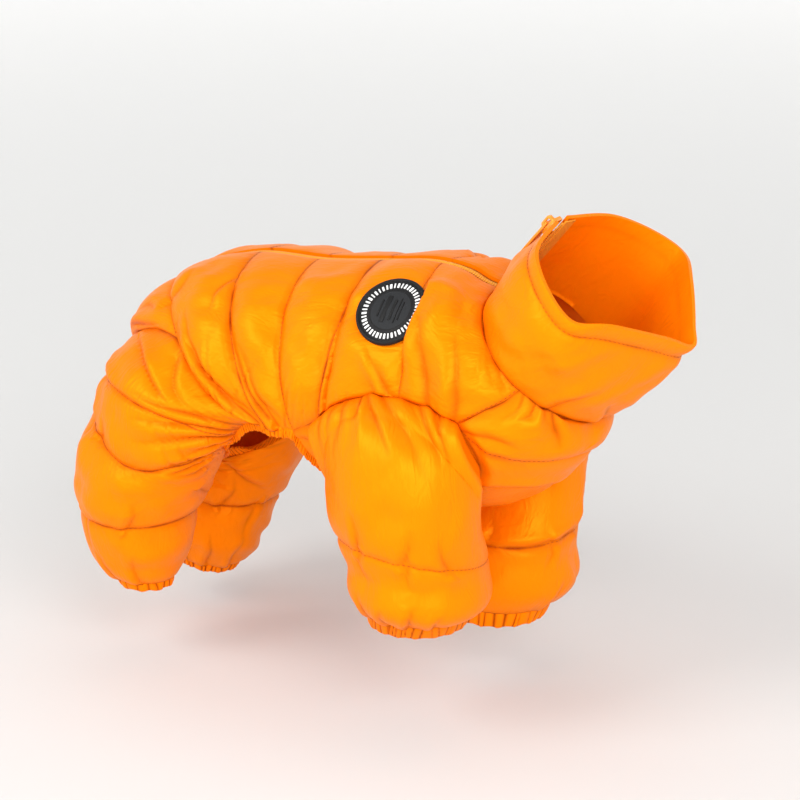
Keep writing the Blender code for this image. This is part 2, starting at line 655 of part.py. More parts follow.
def build_slider(frame):
    """Slider body with its bridge, joined by a union."""
    shoulder = SLIDER_LENGTH / 2
    outline = [(shoulder, -3.4), (shoulder, 3.4), (shoulder - 2.2, 4.3), (0.0, 4.0),
               (-shoulder + 1.0, 3.1), (-shoulder, 2.4), (-shoulder, -2.4),
               (-shoulder + 1.0, -3.1), (0.0, -4.0), (shoulder - 2.2, -4.3)]
    vertices, faces = extruded(outline, None, SLIDER_LOW, SLIDER_TOP)
    body = add_mesh("zip_slider", placed(vertices, frame, (0, 1, 2)), faces, METAL)
    foot = SLIDER_TOP - 0.4
    outer = [(-3.5, foot), (-3.5, 5.6), (-2.6, 6.5), (2.6, 6.5), (3.5, 5.6), (3.5, foot)]
    inner = [(-2.0, foot + 0.7), (-2.0, 5.0), (-1.6, 5.4), (1.6, 5.4), (2.0, 5.0),
             (2.0, foot + 0.7)]
    vertices, faces = extruded(outer, inner, -BRIDGE_HALF, BRIDGE_HALF)
    bridge = add_mesh("zip_bridge_shape", placed(vertices, frame, (0, 2, 1)), faces, METAL)
    bridge.hide_render = True
    bridge.display_type = "WIRE"
    union = body.modifiers.new("bridge", "BOOLEAN")
    union.operation = "UNION"
    union.object = bridge


def build_pull(frame):
    """The pull tab on its hinge under the bridge, lying down along the zip."""
    origin, along, across, out = frame
    hinge = origin + out * HINGE_HEIGHT
    tip = -PULL_LENGTH
    outline = [(0.65, 3.0), (0.65, -3.0), (-6.0, -3.0), (-8.5, -PULL_HALF),
               (tip + 2.2, -PULL_HALF), (tip + 0.5, -2.4), (tip, 0.0), (tip + 0.5, 2.4),
               (tip + 2.2, PULL_HALF), (-8.5, PULL_HALF), (-6.0, 3.0), (-3.0, 3.0)]
    eye = [(-0.65, 1.8), (-0.65, -1.8), (-4.6, -1.8), (-5.2, -1.5), (-5.4, -1.0), (-5.5, -0.4),
           (-5.5, 0.0), (-5.5, 0.4), (-5.4, 1.0), (-5.2, 1.5), (-4.6, 1.8), (-2.6, 1.8)]
    vertices, faces = extruded(outline, eye, -PULL_THICK / 2, PULL_THICK / 2)
    frame = (hinge, along, across, out)
    return add_mesh("zip_pull", placed(vertices, frame, (0, 1, 2)), faces, METAL, hinge)


# ---------------------------------------------------------------- badge
def badge_centre(points):
    """Grid point of the right back panel nearest to the badge's middle."""
    target = trunk(BADGE_AT.s, BADGE_AT.angle, RIGHT)
    return np.unravel_index(np.argmin(np.linalg.norm(points - target, axis=-1)), points.shape[:2])


def press_under_badge(back):
    """Flatten the padding of the right back panel where the badge is sewn on."""
    target = trunk(BADGE_AT.s, BADGE_AT.angle, RIGHT)
    away = np.linalg.norm(back.points - target, axis=-1)
    pressed = np.exp(-(away / (BADGE_RADIUS * 1.25)) ** 4)
    back.loft = back.loft * (1 - pressed) + BADGE_BED * pressed


def finer(grid, times):
    """A grid with points added evenly within every quad."""
    for axis in (0, 1):
        count = grid.shape[axis]
        at = np.linspace(0, count - 1, (count - 1) * times + 1)
        low = np.clip(at.astype(int), 0, count - 2)
        share = (at - low).reshape((-1, 1, 1) if axis == 0 else (1, -1, 1))
        grid = np.take(grid, low, axis) * (1 - share) + np.take(grid, low + 1, axis) * share
    return grid


def badge(back):
    """The round badge, bent to the panel that it lies on."""
    centre = trunk(BADGE_AT.s, BADGE_AT.angle, RIGHT)
    surface = finer(back.face(WALL / 2, True), 8).reshape(-1, 3)
    near = surface[np.linalg.norm(surface - centre, axis=1) < BADGE_RADIUS * 1.3]
    out = unit(back.normals[badge_centre(back.points)])
    fore = unit(np.array([1.0, 0.0, 0.0]) - out[0] * out)
    aside = np.cross(out, fore)
    local = near - centre
    x, y, height = local @ fore, local @ aside, local @ out
    terms = np.stack([np.ones_like(x), x, y, x * x, x * y, y * y], axis=1)
    bend, *_ = np.linalg.lstsq(terms, height, rcond=None)
    covered = x * x + y * y < (BADGE_RADIUS + 1.0) ** 2
    lift = np.max((height - terms @ bend)[covered]) + SEAM_GAP

    def point(radius, turn, above):
        u, v = radius * math.cos(turn), radius * math.sin(turn)
        base = np.array([1, u, v, u * u, u * v, v * v]) @ bend + lift
        return centre + fore * u + aside * v + out * (base + above)

    vertices = [point(0, 0, BADGE_THICK)]
    faces = []
    turns = [2 * math.pi * k / BADGE_SIDES for k in range(BADGE_SIDES)]
    for radius, above in BADGE_PROFILE:
        vertices += [point(radius, turn, above) for turn in turns]
    vertices.append(point(0, 0, 0.0))
    rings = len(BADGE_PROFILE)
    for k in range(BADGE_SIDES):
        j = (k + 1) % BADGE_SIDES
        faces.append((0, 1 + k, 1 + j))
        for ring in range(rings - 1):
            a = 1 + ring * BADGE_SIDES
            faces.append((a + k, a + BADGE_SIDES + k, a + BADGE_SIDES + j, a + j))
        a = 1 + (rings - 1) * BADGE_SIDES
        faces.append((a + j, a + k, len(vertices) - 1))
    return vertices, faces


# ---------------------------------------------------------------- building in Blender
def clear_scene():
    """Remove the objects of the opened scene."""
    for thing in list(bpy.data.objects):
        bpy.data.objects.remove(thing, do_unlink=True)


Finish = namedtuple("Finish", "name colour roughness metallic")
NYLON = Finish("orange_nylon", (0.93, 0.30, 0.01), 0.42, 0.0)
CASING = Finish("elastic_casing", (0.90, 0.26, 0.01), 0.50, 0.0)
TAPE = Finish("zip_tape", (0.86, 0.42, 0.02), 0.70, 0.0)
COIL = Finish("zip_coil", (0.90, 0.47, 0.03), 0.38, 0.0)
METAL = Finish("slider_enamel", (0.88, 0.38, 0.02), 0.35, 0.2)
RUBBER = Finish("badge_rubber", (0.012, 0.012, 0.013), 0.55, 0.0)


def material(finish):
    """The Principled material of a finish, made once."""
    made = bpy.data.materials.get(finish.name)
    if made:
        return made
    made = bpy.data.materials.new(finish.name)
    made.use_nodes = True
    shader = made.node_tree.nodes["Principled BSDF"]
    shader.inputs["Base Color"].default_value = (*finish.colour, 1.0)
    shader.inputs["Roughness"].default_value = finish.roughness
    shader.inputs["Metallic"].default_value = finish.metallic
    return made


def add_mesh(name, vertices, faces, finish, origin=(0.0, 0.0, 0.0)):
    """A smooth-shaded object from millimetre vertices, with its origin at a millimetre point."""
    shift = np.asarray(origin, float)
    mesh = bpy.data.meshes.new(name)
    mesh.from_pydata([tuple(v) for v in (np.asarray(vertices, float) - shift) * MM], [], faces)
    made = bmesh.new()
    made.from_mesh(mesh)
    bmesh.ops.triangulate(made, faces=made.faces, quad_method="FIXED")
    bmesh.ops.recalc_face_normals(made, faces=made.faces)
    made.to_mesh(mesh)
    made.free()
    mesh.shade_smooth()
    mesh.set_sharp_from_angle(angle=math.radians(50))
    mesh.materials.append(material(finish))
    thing = bpy.data.objects.new(name, mesh)
    thing.location = (shift - np.array(HELD_AT)) * MM
    bpy.context.scene.collection.objects.link(thing)
    return thing


def main():
    """Build the jumpsuit."""
    clear_scene()
    backs = {side: back_panel(side) for side in (RIGHT, LEFT)}
    press_under_badge(backs[RIGHT])
    chest = chest_panel()
    collar = collar_panel(backs, chest)
    sleeves = {side: sleeve(side, backs[side], chest) for side in (RIGHT, LEFT)}
    legs = {side: hind_leg(side, backs[side]) for side in (RIGHT, LEFT)}
    panels = [*backs.values(), chest, collar, *sleeves.values(), *legs.values()]
    weld_normals(panels)
    for part in sleeves.values():
        part.points[0] += unit(part.points[0].mean(axis=0) - part.points[0]) * ARMHOLE_EASE
    for name, pair, height in (("cuff_front", sleeves, FORE_CUFF), ("cuff_hind", legs, HIND_CUFF)):
        for side in (RIGHT, LEFT):
            add_mesh(f"{name}_{side_name(side)}", *cuff(pair[side], height), CASING)
    add_mesh("opening_hem", *opening_hem(backs, legs, chest), CASING)
    zip_line = ZipLine(backs, collar)
    for side in (RIGHT, LEFT):
        add_mesh("zip_tape_" + side_name(side), *zip_line.tape(side), TAPE)
    add_mesh("zip_chain", *zip_line.chain(), COIL)
    frame = zip_line.slider_frame()
    build_slider(frame)
    build_pull(frame)
    for panel in panels:
        panel.trim()
        add_mesh(panel.name, *panel.solid(), NYLON)
    add_mesh("badge", *badge(backs[RIGHT]), RUBBER)


if __name__ == "__main__":
    main()
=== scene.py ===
"""Looks of a padded dog jumpsuit in the hollow form it has when worn.

Every sewn piece is a two-layer cloth shell on a fine grid. A short cloth simulation blows up the
padding between its stitched lines. Soft swells, the gathers along seams and the main folds are
then laid in, and casings, zip, badge and stitches follow the shells.

Tables are in millimetres above the floor: +X to the wearer's head, +Y to its left, +Z up. Meshes
are moved so that the frame's origin, the withers, lies at HELD_AT.
"""

import logging
import math
from collections.abc import Iterable
from dataclasses import dataclass
from enum import Enum, IntEnum

import bpy
import numpy as np
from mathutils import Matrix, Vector


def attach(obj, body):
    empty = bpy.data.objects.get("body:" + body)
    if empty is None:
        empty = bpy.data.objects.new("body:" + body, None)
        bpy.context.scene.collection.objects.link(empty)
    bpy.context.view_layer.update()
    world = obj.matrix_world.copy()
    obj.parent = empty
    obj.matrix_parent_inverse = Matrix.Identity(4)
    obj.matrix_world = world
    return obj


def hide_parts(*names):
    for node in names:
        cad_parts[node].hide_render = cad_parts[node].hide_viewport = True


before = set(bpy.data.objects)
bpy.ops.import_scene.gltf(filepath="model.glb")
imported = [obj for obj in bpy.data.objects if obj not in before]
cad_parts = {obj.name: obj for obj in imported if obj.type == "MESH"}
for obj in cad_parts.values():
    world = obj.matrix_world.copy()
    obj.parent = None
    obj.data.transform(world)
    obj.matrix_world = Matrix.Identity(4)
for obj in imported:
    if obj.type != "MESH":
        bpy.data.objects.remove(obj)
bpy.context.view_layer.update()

log = logging.getLogger("jumpsuit")

Array = np.ndarray
Tree = bpy.types.NodeTree
Socket = bpy.types.NodeSocket
Colour = tuple[float, float, float]
Body = tuple[Array, ...]      # vertices, faces and, for cloth, its coordinates and shade

MM = 0.001
HELD_AT = np.array([58.0, 0.0, 221.0])
WALL = 1.8            # both cloth layers pressed together at a seam
ZIP_EDGE = 4.6        # half the slot between the two panels at the zip
FINE = 5              # rows of the cut grid for each row of the frame's grid
FINE_ACROSS = 6       # and columns, on the back and chest panels
SLEEVE_CLEARANCE = 12.0   # between a sleeve and the trunk


class Side(IntEnum):
    """Side of the wearer, and its sign along Y."""

    RIGHT = -1
    LEFT = 1

    @property
    def word(self) -> str:
        """The side's name in piece names."""
        return self.name.lower()


# ------------ tables of the cut
@dataclass(frozen=True)
class Ring:
    """A ring round the trunk, in the plane through its two mid-line points."""

    name: str
    s: float
    back_x: float
    back_z: float
    belly_x: float
    belly_z: float
    half_width: float
    keel: float


@dataclass(frozen=True)
class Bay:
    """The strip of a panel before a line: where the line starts and ends, and its padding."""

    name: str
    start: float
    end: float
    rows: int
    loft: float
    sewn: bool
    bow: float = 0.0      # how far the line's middle lies ahead of the straight


@dataclass(frozen=True)
class LimbRing:
    """A ring round a leg: r is the share of the way down, pitch, roll and arch tilt it."""

    name: str
    r: float
    x: float
    y: float
    z: float
    half_fore: float
    half_side: float
    pitch: float
    roll: float
    arch: float
    front: float = -90.0
    rear: float = 270.0


@dataclass(frozen=True)
class RimPoint:
    """A point of the collar's rim, from the neck's centre along its up, side and out."""

    angle: float
    up: float
    side: float
    out: float


TRUNK = (
    Ring("tail", 0.00, -116, 157, -60, 95, 42, 0.0),
    Ring("croup", 0.10, -107, 181, -45, 100, 51, 0.0),
    Ring("rump", 0.22, -84, 201, -28, 104, 57, 0.0),
    Ring("loin", 0.38, -46, 215, -4, 108, 60, 0.0),
    Ring("waist", 0.52, -6, 217, 26, 109, 58, 0.0),
    Ring("rib", 0.66, 32, 222, 62, 107, 58, 0.0),
    Ring("chest", 0.78, 57, 225, 101, 115, 57, 0.0),
    Ring("shoulder", 0.88, 75, 223, 133, 137, 53, 0.05),
    Ring("base", 0.95, 85, 219, 143, 151, 48, 0.12),
    Ring("neck", 1.00, 94, 217, 145, 161, 45, 0.22),
)
BACK_BAYS = (
    Bay("tail_hem", 0.000, 0.000, 0, 0.0, True),
    Bay("croup_line", 0.190, 0.260, 5, 5.0, True),
    Bay("flank_corner", 0.390, 0.440, 5, 6.5, True, -0.008),
    Bay("belly_corner", 0.512, 0.500, 3, 5.5, True, 0.006),
    Bay("armhole_rear", 0.645, 0.575, 3, 6.0, True, 0.022),
    Bay("withers_line", 0.808, 0.757, 6, 6.5, True, 0.028),
    Bay("armhole_front", 0.890, 0.838, 3, 6.5, False, 0.012),
    Bay("neck_seam", 1.000, 1.000, 4, 6.5, True),
)
BACK_COLUMNS = 7
CHEST_BAYS = (
    Bay("belly_hem", 0.500, 0.560, 0, 0.0, True),
    Bay("armhole_rear", 0.575, 0.600, 3, 3.5, False),
    Bay("armhole_turn", 0.612, 0.655, 2, 3.5, False),
    Bay("withers_line", 0.757, 0.835, 5, 3.5, False),
    Bay("chest_line", 0.838, 0.915, 3, 3.5, True),
    Bay("neck_seam", 1.000, 1.000, 4, 4.0, True),
)
CHEST_COLUMNS = 12
# Seams on the trunk: station and angle from the spine in degrees.
BACK_LOWER_EDGE = (
    (0.000, 16), (0.060, 32), (0.130, 44), (0.200, 52), (0.260, 61), (0.295, 76), (0.330, 92),
    (0.385, 103), (0.440, 109), (0.500, 108), (0.575, 98), (0.610, 91), (0.647, 87), (0.700, 84),
    (0.760, 85), (0.805, 91), (0.838, 103), (0.900, 102), (1.000, 104),
)
CHEST_EDGE = (
    (0.500, 108), (0.575, 98), (0.593, 112), (0.635, 128), (0.700, 138), (0.785, 139),
    (0.822, 128), (0.838, 103), (0.900, 102), (1.000, 104),
)
ARMHOLE_RING = LimbRing("armhole", 0.00, 73, 52, 136, 44, 24, -0.10, 1.25, 8)
SLEEVES = {
    Side.RIGHT: (
        ARMHOLE_RING,
        LimbRing("upper", 0.30, 71.5, 54, 122, 37.5, 28, -0.12, 0.75, 6),
        LimbRing("quilt", 0.60, 72.3, 47, 97, 35.2, 34, -0.11, 0.15, 0),
        LimbRing("below", 0.71, 74.4, 45, 88, 32.2, 31, -0.08, 0.05, 0),
        LimbRing("lower", 0.92, 75.1, 44, 71, 30.4, 30.5, -0.06, 0.00, 0),
        LimbRing("cuff", 1.00, 73, 42, 63, 25, 25, 0.00, 0.00, 0),
    ),
    Side.LEFT: (
        ARMHOLE_RING,
        LimbRing("upper", 0.30, 71, 54, 118, 36, 28, -0.12, 0.75, 6),
        LimbRing("quilt", 0.60, 71, 47, 84, 35, 34, -0.11, 0.15, 0),
        LimbRing("below", 0.71, 72, 45, 72, 32.5, 31, -0.08, 0.05, 0),
        LimbRing("lower", 0.92, 72, 44, 50.5, 31.5, 30.5, -0.06, 0.00, 0),
        LimbRing("cuff", 1.00, 71, 42, 41, 25, 25, 0.00, 0.00, 0),
    ),
}
SLEEVE_BAYS = (
    Bay("armhole", 0.00, 0.00, 0, 0.0, True),
    Bay("quilt", 0.60, 0.60, 6, 3.4, True),
    Bay("cuff", 1.00, 1.00, 5, 3.2, True),
)
HIP_RINGS = (
    LimbRing("hip", 0.00, -62, 42, 152, 42, 28, -0.10, 0.10, 0, 20, 212),
    LimbRing("thigh", 0.24, -65, 43, 146, 38, 31, -0.25, 0.12, 0, 12, 210),
)
HIND_LEGS = {
    Side.RIGHT: (
        *HIP_RINGS,
        LimbRing("knee", 0.48, -76, 44, 117, 35, 30, -0.17, 0.00, 16, 0, 208),
        LimbRing("crotch", 0.62, -87, 45, 103, 31, 30, -0.14, 0.05, 9),
        LimbRing("shin", 0.78, -94, 44, 82, 28, 28, -0.05, 0.00, 3),
        LimbRing("hock", 0.92, -95, 42, 58, 20, 20, 0.00, 0.00, 0),
        LimbRing("cuff", 1.00, -93, 42, 46, 14, 14, 0.00, 0.00, 0),
    ),
    Side.LEFT: (
        *HIP_RINGS,
        LimbRing("knee", 0.48, -78, 44, 114, 36, 30, -0.17, 0.00, 16, 0, 208),
        LimbRing("crotch", 0.62, -92, 45, 94, 32, 30, -0.18, 0.05, 6),
        LimbRing("shin", 0.78, -103, 44, 67, 27, 27, -0.20, 0.00, 2),
        LimbRing("hock", 0.92, -111, 42, 41, 22, 22, -0.22, 0.00, 0),
        LimbRing("cuff", 1.00, -114, 42, 27, 17, 17, -0.22, 0.00, 0),
    ),
}
LEG_BAYS = (
    Bay("hip", 0.00, 0.00, 0, 0.0, True),
    Bay("thigh", 0.24, 0.24, 3, 3.5, True),
    Bay("knee", 0.48, 0.48, 3, 4.5, True),
    Bay("crotch", 0.62, 0.62, 2, 4.5, False),
    Bay("shin", 0.78, 0.78, 3, 4.5, True),
    Bay("cuff", 1.00, 1.00, 4, 4.0, True),
)
RIM = (
    RimPoint(0, 46, 0, 48), RimPoint(45, 34, -37, 48), RimPoint(90, 1, -51, 51),
    RimPoint(135, -15, -38, 62), RimPoint(163, -31, -13, 65), RimPoint(180, -39, 1, 65),
    RimPoint(197, -31, 9, 67), RimPoint(225, -13, 27, 69), RimPoint(270, 6, 49, 62),
    RimPoint(315, 34, 37, 52), RimPoint(360, 46, 0, 48),
)
COLLAR_STITCH = 0.86   # the stitched line under the rim, as a share of the collar's height
COLLAR_LOFT, STRIP_LOFT = 5.0, 0.7     # below that line and above it
NECK_RADIUS = 52.0


# ------------ curves and grids
def columns(rows: tuple, *names: str) -> Array:
    """Named fields of a table.

    Args:
        rows: Rows of one dataclass.
        names: The fields wanted.

    Returns:
        One line for each row and one column for each name.
    """
    return np.array([[getattr(row, name) for name in names] for row in rows], float)


def glide(knots: Array, values: Array, at: Array) -> Array:
    """Smooth curve through values at knots.

    Args:
        knots: Places of the values, rising.
        values: One line of numbers for each knot.
        at: Places to read.

    Returns:
        The values at those places.
    """
    at = np.clip(np.asarray(at, float), knots[0], knots[-1])
    step = np.diff(knots)
    slope = np.diff(values, axis=0) / step[:, None]
    tangent = np.vstack([slope[:1], np.zeros_like(values[2:]), slope[-1:]])
    before, after = step[:-1, None], step[1:, None]
    tangent[1:-1] = (slope[:-1] * after + slope[1:] * before) / (before + after)
    i = np.clip(np.searchsorted(knots, at, side="right") - 1, 0, len(knots) - 2)
    width = step[i][..., None]
    t = (at - knots[i])[..., None] / width
    ease = t * t * (3 - 2 * t)
    lead = t * (1 - t) ** 2 * width
    trail = t * t * (t - 1) * width
    return values[i] * (1 - ease) + values[i + 1] * ease + tangent[i] * lead + tangent[i + 1] * trail


def unit(vectors: Array) -> Array:
    """Vectors scaled to length one."""
    return vectors / np.maximum(np.linalg.norm(vectors, axis=-1, keepdims=True), 1e-9)


def dome(share: Array, power: float) -> Array:
    """Rise from 0 at both ends of a span to 1 at its middle."""
    return np.sin(np.pi * np.clip(share, 0, 1)) ** power


def smooth_step(low: float, high: float, at: Array) -> Array:
    """Ease from 0 below low to 1 above high."""
    t = np.clip((at - low) / (high - low), 0, 1)
    return t * t * (3 - 2 * t)


def halved(line: Array) -> Array:
    """A line with a point added in the middle of every step.

    Args:
        line: Values with one row for each point.

    Returns:
        The finer line.
    """
    finer = np.repeat(line, 2, axis=0)[:-1]
    finer[1::2] = (line[:-1] + line[1:]) / 2
    return finer


def refined(grid: Array, axis: int, closed: bool = False) -> Array:
    """Grid with a point added in every step along an axis, on a smooth curve.

    Args:
        grid: Values on a grid.
        axis: Axis to refine.
        closed: True where the grid goes round along that axis.

    Returns:
        The finer grid.
    """
    g = np.moveaxis(grid, axis, 0)
    if closed:
        wide = np.concatenate([g[-1:], g, g[:2]])
    else:
        wide = np.concatenate([2 * g[:1] - g[1:2], g, 2 * g[-1:] - g[-2:-1]])
    between = (9 * (wide[1:-2] + wide[2:-1]) - wide[:-3] - wide[3:]) / 16
    fine = np.empty((len(g) + len(between), *g.shape[1:]))
    fine[0::2], fine[1::2] = g, between
    return np.moveaxis(fine, 0, axis)


def lengths_along(line: Array) -> Array:
    """Distance along a line of points from its first one."""
    return np.concatenate([[0.0], np.cumsum(np.linalg.norm(np.diff(line, axis=0), axis=-1))])


def read_along(lengths: Array, values: Array, at: Array) -> Array:
    """Rows of values, given at lengths along a line, read at other lengths."""
    return np.stack([np.interp(at, lengths, column) for column in values.T], -1)


def resampled(line: Array, count: int, *others: Array) -> list[Array]:
    """A closed line, and values that go with it, at even steps.

    Args:
        line: Points of the loop, without its first point repeated.
        count: Points wanted.
        others: Values with one row for each point.

    Returns:
        The new loop, then the other values on it.
    """
    loop = np.concatenate([line, line[:1]])
    length = lengths_along(loop)
    at = np.linspace(0, length[-1], count, endpoint=False)
    out = []
    for values in (line, *others):
        wide = np.concatenate([values, values[:1]])
        out.append(read_along(length, wide, at))
    return out


def eased(loop: Array, times: int) -> Array:
    """A closed loop of values, each averaged with its neighbours some times.

    Args:
        loop: The values.
        times: How often.

    Returns:
        The smoother loop.
    """
    for _ in range(times):
        loop = (np.roll(loop, 1, axis=0) + 2 * loop + np.roll(loop, -1, axis=0)) / 4
    return loop


def trunk(s: Array, angle: Array, side: int) -> Array:
    """Points of the trunk's surface.

    Args:
        s: Stations from the tail, 0, to the neck, 1.
        angle: Angles in degrees from the spine.
        side: Sign of the side along Y.

    Returns:
        The points.
    """
    names = ("back_x", "back_z", "belly_x", "belly_z", "half_width", "keel")
    ring = glide(columns(TRUNK, "s")[:, 0], columns(TRUNK, *names), s)
    turn = np.radians(np.asarray(angle, float))
    back, belly = ring[..., 0:2], ring[..., 2:4]
    half = ring[..., 4] * (1 - ring[..., 5] * ((1 - np.cos(turn)) / 2) ** 2)
    mid = (back + belly) / 2 + (back - belly) / 2 * np.cos(turn)[..., None]
    return np.stack([mid[..., 0], side * half * np.sin(turn), mid[..., 1]], axis=-1)


def zip_angle(s: Array) -> Array:
    """Angle of the zip's slot edge at station s, in degrees."""
    half = glide(columns(TRUNK, "s")[:, 0], columns(TRUNK, "half_width"), s)[..., 0]
    return np.degrees(np.arcsin(ZIP_EDGE / half))


def limb(ring: Array, turns: Array, side: int) -> Array:
    """Points of a leg's rings.

    Args:
        ring: Rings' values, from the columns x to arch.
        turns: Turns in degrees from the front.
        side: Sign of the side along Y.

    Returns:
        The points.
    """
    turn = np.radians(turns)
    fore, out = ring[..., 3] * np.cos(turn), ring[..., 4] * np.sin(turn)
    rise = ring[..., 5] * fore + ring[..., 6] * out + ring[..., 7] * np.cos(turn) ** 2
    return np.stack([ring[..., 0] + fore, side * (ring[..., 1] + out), ring[..., 2] + rise], axis=-1)


def bay_lines(bays: tuple[Bay, ...]) -> dict[str, int]:
    """Row of the fine grid at which each named line lies."""
    rows = np.cumsum([bay.rows * FINE for bay in bays])
    return {bay.name: int(row) for bay, row in zip(bays, rows)}


def bay_grid(bays: tuple[Bay, ...]) -> tuple[Array, Array]:
    """Rows between the lines of a panel.

    Args:
        bays: The panel's bays.

    Returns:
        Each row's place at the line's start and end with its bow, and the loft of its padding.
    """
    at_line = np.cumsum([bay.rows * FINE for bay in bays])
    rows = np.arange(at_line[-1] + 1)
    ends = columns(bays, "start", "end", "bow")
    values = read_along(at_line, ends, rows)
    sewn = np.array([line for line, bay in zip(at_line, bays) if bay.sewn])
    place = np.interp(rows, sewn, np.arange(len(sewn))) % 1
    loft = np.array([bays[np.searchsorted(at_line, row)].loft for row in rows])
    return values, loft * dome(place, 0.46)


def sewn_rows(bays: tuple[Bay, ...]) -> list[int]:
    """Rows of the fine grid that are stitched through, the panel's ends among them."""
    lines = bay_lines(bays)
    return [lines[bay.name] for bay in bays if bay.sewn]


# ------------ materials
def node_group(name: str, inputs: dict[str, float | str], output: str,
               kind: str) -> tuple[Tree, bpy.types.NodeOutputs]:
    """An empty shader node group with one output.

    Args:
        name: Name of the group.
        inputs: For each input, the value of a float or the kind of another socket.
        output: Name of the output.
        kind: Kind of the output.

    Returns:
        The group, and the sockets that bring its inputs.
    """
    group = bpy.data.node_groups.new(name, "ShaderNodeTree")
    for title, value in inputs.items():
        sort = "Float" if isinstance(value, float) else value
        socket = group.interface.new_socket(title, in_out="INPUT", socket_type="NodeSocket" + sort)
        if sort == "Float":
            socket.default_value = value
    group.interface.new_socket(output, in_out="OUTPUT", socket_type="NodeSocket" + kind)
    group.nodes.new("NodeGroupOutput").name = "out"
    return group, group.nodes.new("NodeGroupInput").outputs


def add_node(tree: Tree, kind: str, inputs: dict | None = None,
             **settings: object) -> bpy.types.Node:
    """A node with its settings and inputs.

    Args:
        tree: Tree that gets the node.
        kind: Its type, after the words that all types share.
        inputs: For each input's name or number, the socket to link or the value to set.
        settings: Its other settings.

    Returns:
        The node.
    """
    node = tree.nodes.new("ShaderNode" + kind)
    for key, value in settings.items():
        setattr(node, key, value)
    for key, value in (inputs or {}).items():
        if isinstance(value, Socket):
            tree.links.new(value, node.inputs[key])
        else:
            node.inputs[key].default_value = value
    return node


def sum_of(tree: Tree, operation: str, *terms: Socket | float, **settings: object) -> Socket:
    """The result of a sum over sockets and numbers."""
    return add_node(tree, "Math", dict(enumerate(terms)), operation=operation, **settings).outputs[0]


def put_out(group: Tree, socket: Socket) -> Tree:
    """The group, with a socket linked to its output."""
    group.links.new(socket, group.nodes["out"].inputs[0])
    return group


def bumped(group: Tree, height: Socket, distance: float, given: bpy.types.NodeOutputs) -> Tree:
    """The group, putting out its normal bent by a height.

    Args:
        group: The group.
        height: The height.
        distance: Rise of a height of one, in metres.
        given: The group's inputs, with a strength and a normal.

    Returns:
        The group.
    """
    bump = add_node(group, "Bump", {"Distance": distance, "Height": height,
                                    "Strength": given["Strength"], "Normal": given["Normal"]})
    return put_out(group, bump.outputs["Normal"])


def relief_group() -> Tree:
    """Soft small creases across the padding, read from the cloth's own coordinates.

    Returns:
        The group.
    """
    group, given = node_group("soft_creases", {"Along": 7.0, "Across": 15.0, "Strength": 0.5,
                                               "Normal": "Vector"}, "Normal", "Vector")
    cloth = add_node(group, "UVMap").outputs["UV"]
    sizes = add_node(group, "CombineXYZ", {"X": given["Across"], "Y": given["Along"]})
    place = add_node(group, "VectorMath", {0: cloth, 1: sizes.outputs["Vector"]},
                     operation="MULTIPLY").outputs["Vector"]
    broad = add_node(group, "TexNoise", {"Vector": place, "Scale": 1.0, "Detail": 2.5,
                                         "Distortion": 0.8})
    small = add_node(group, "TexNoise", {"Vector": place, "Scale": 2.9, "Detail": 1.5,
                                         "Distortion": 0.4})
    valley = sum_of(group, "ABSOLUTE", sum_of(group, "SUBTRACT", broad.outputs["Fac"], 0.5))
    crease = sum_of(group, "SMOOTH_MIN", valley, 0.15, 0.06)
    height = sum_of(group, "MULTIPLY_ADD", small.outputs["Fac"], 0.16, crease)
    return bumped(group, height, 0.0018, given)


def weave_group() -> Tree:
    """Crossing threads, read from the cloth's own coordinates.

    Returns:
        The group.
    """
    group, given = node_group("weave", {"Threads": 250.0, "Strength": 0.1, "Normal": "Vector"},
                              "Normal", "Vector")
    cloth = add_node(group, "UVMap").outputs["UV"]
    waves = [add_node(group, "TexWave", {"Vector": cloth, "Scale": given["Threads"],
                                         "Distortion": 0.3, "Detail": 0.0},
                      bands_direction=direction).outputs["Fac"] for direction in ("X", "Y")]
    return bumped(group, sum_of(group, "MULTIPLY", *waves), 0.0001, given)


def wear_group() -> Tree:
    """Uneven sheen of handled cloth: a roughness that drifts from place to place.

    Returns:
        The group.
    """
    group, given = node_group("wear", {"Roughness": 0.4, "Amount": 0.1}, "Roughness", "Float")
    place = add_node(group, "TexCoord").outputs["Object"]
    noise = add_node(group, "TexNoise", {"Vector": place, "Scale": 38.0, "Detail": 3.0})
    drift = sum_of(group, "SUBTRACT", noise.outputs["Fac"], 0.5)
    return put_out(group, sum_of(group, "MULTIPLY_ADD", drift, given["Amount"], given["Roughness"],
                                 use_clamp=True))


def shade_group() -> Tree:
    """Painted shade: cloth mixed toward a dark colour where the mesh's shade is high, in seams and
    folds.

    Returns:
        The group.
    """
    group, given = node_group("seam_shade", {"Color": "Color", "Deep": "Color"}, "Color", "Color")
    shade = add_node(group, "Attribute", attribute_name="shade").outputs["Fac"]
    share, first, second, mixed = 0, 6, 7, 2      # sockets of the mix that colours use
    mix = add_node(group, "Mix", {share: shade, first: given["Color"], second: given["Deep"]},
                   data_type="RGBA", clamp_factor=True)
    return put_out(group, mix.outputs[mixed])


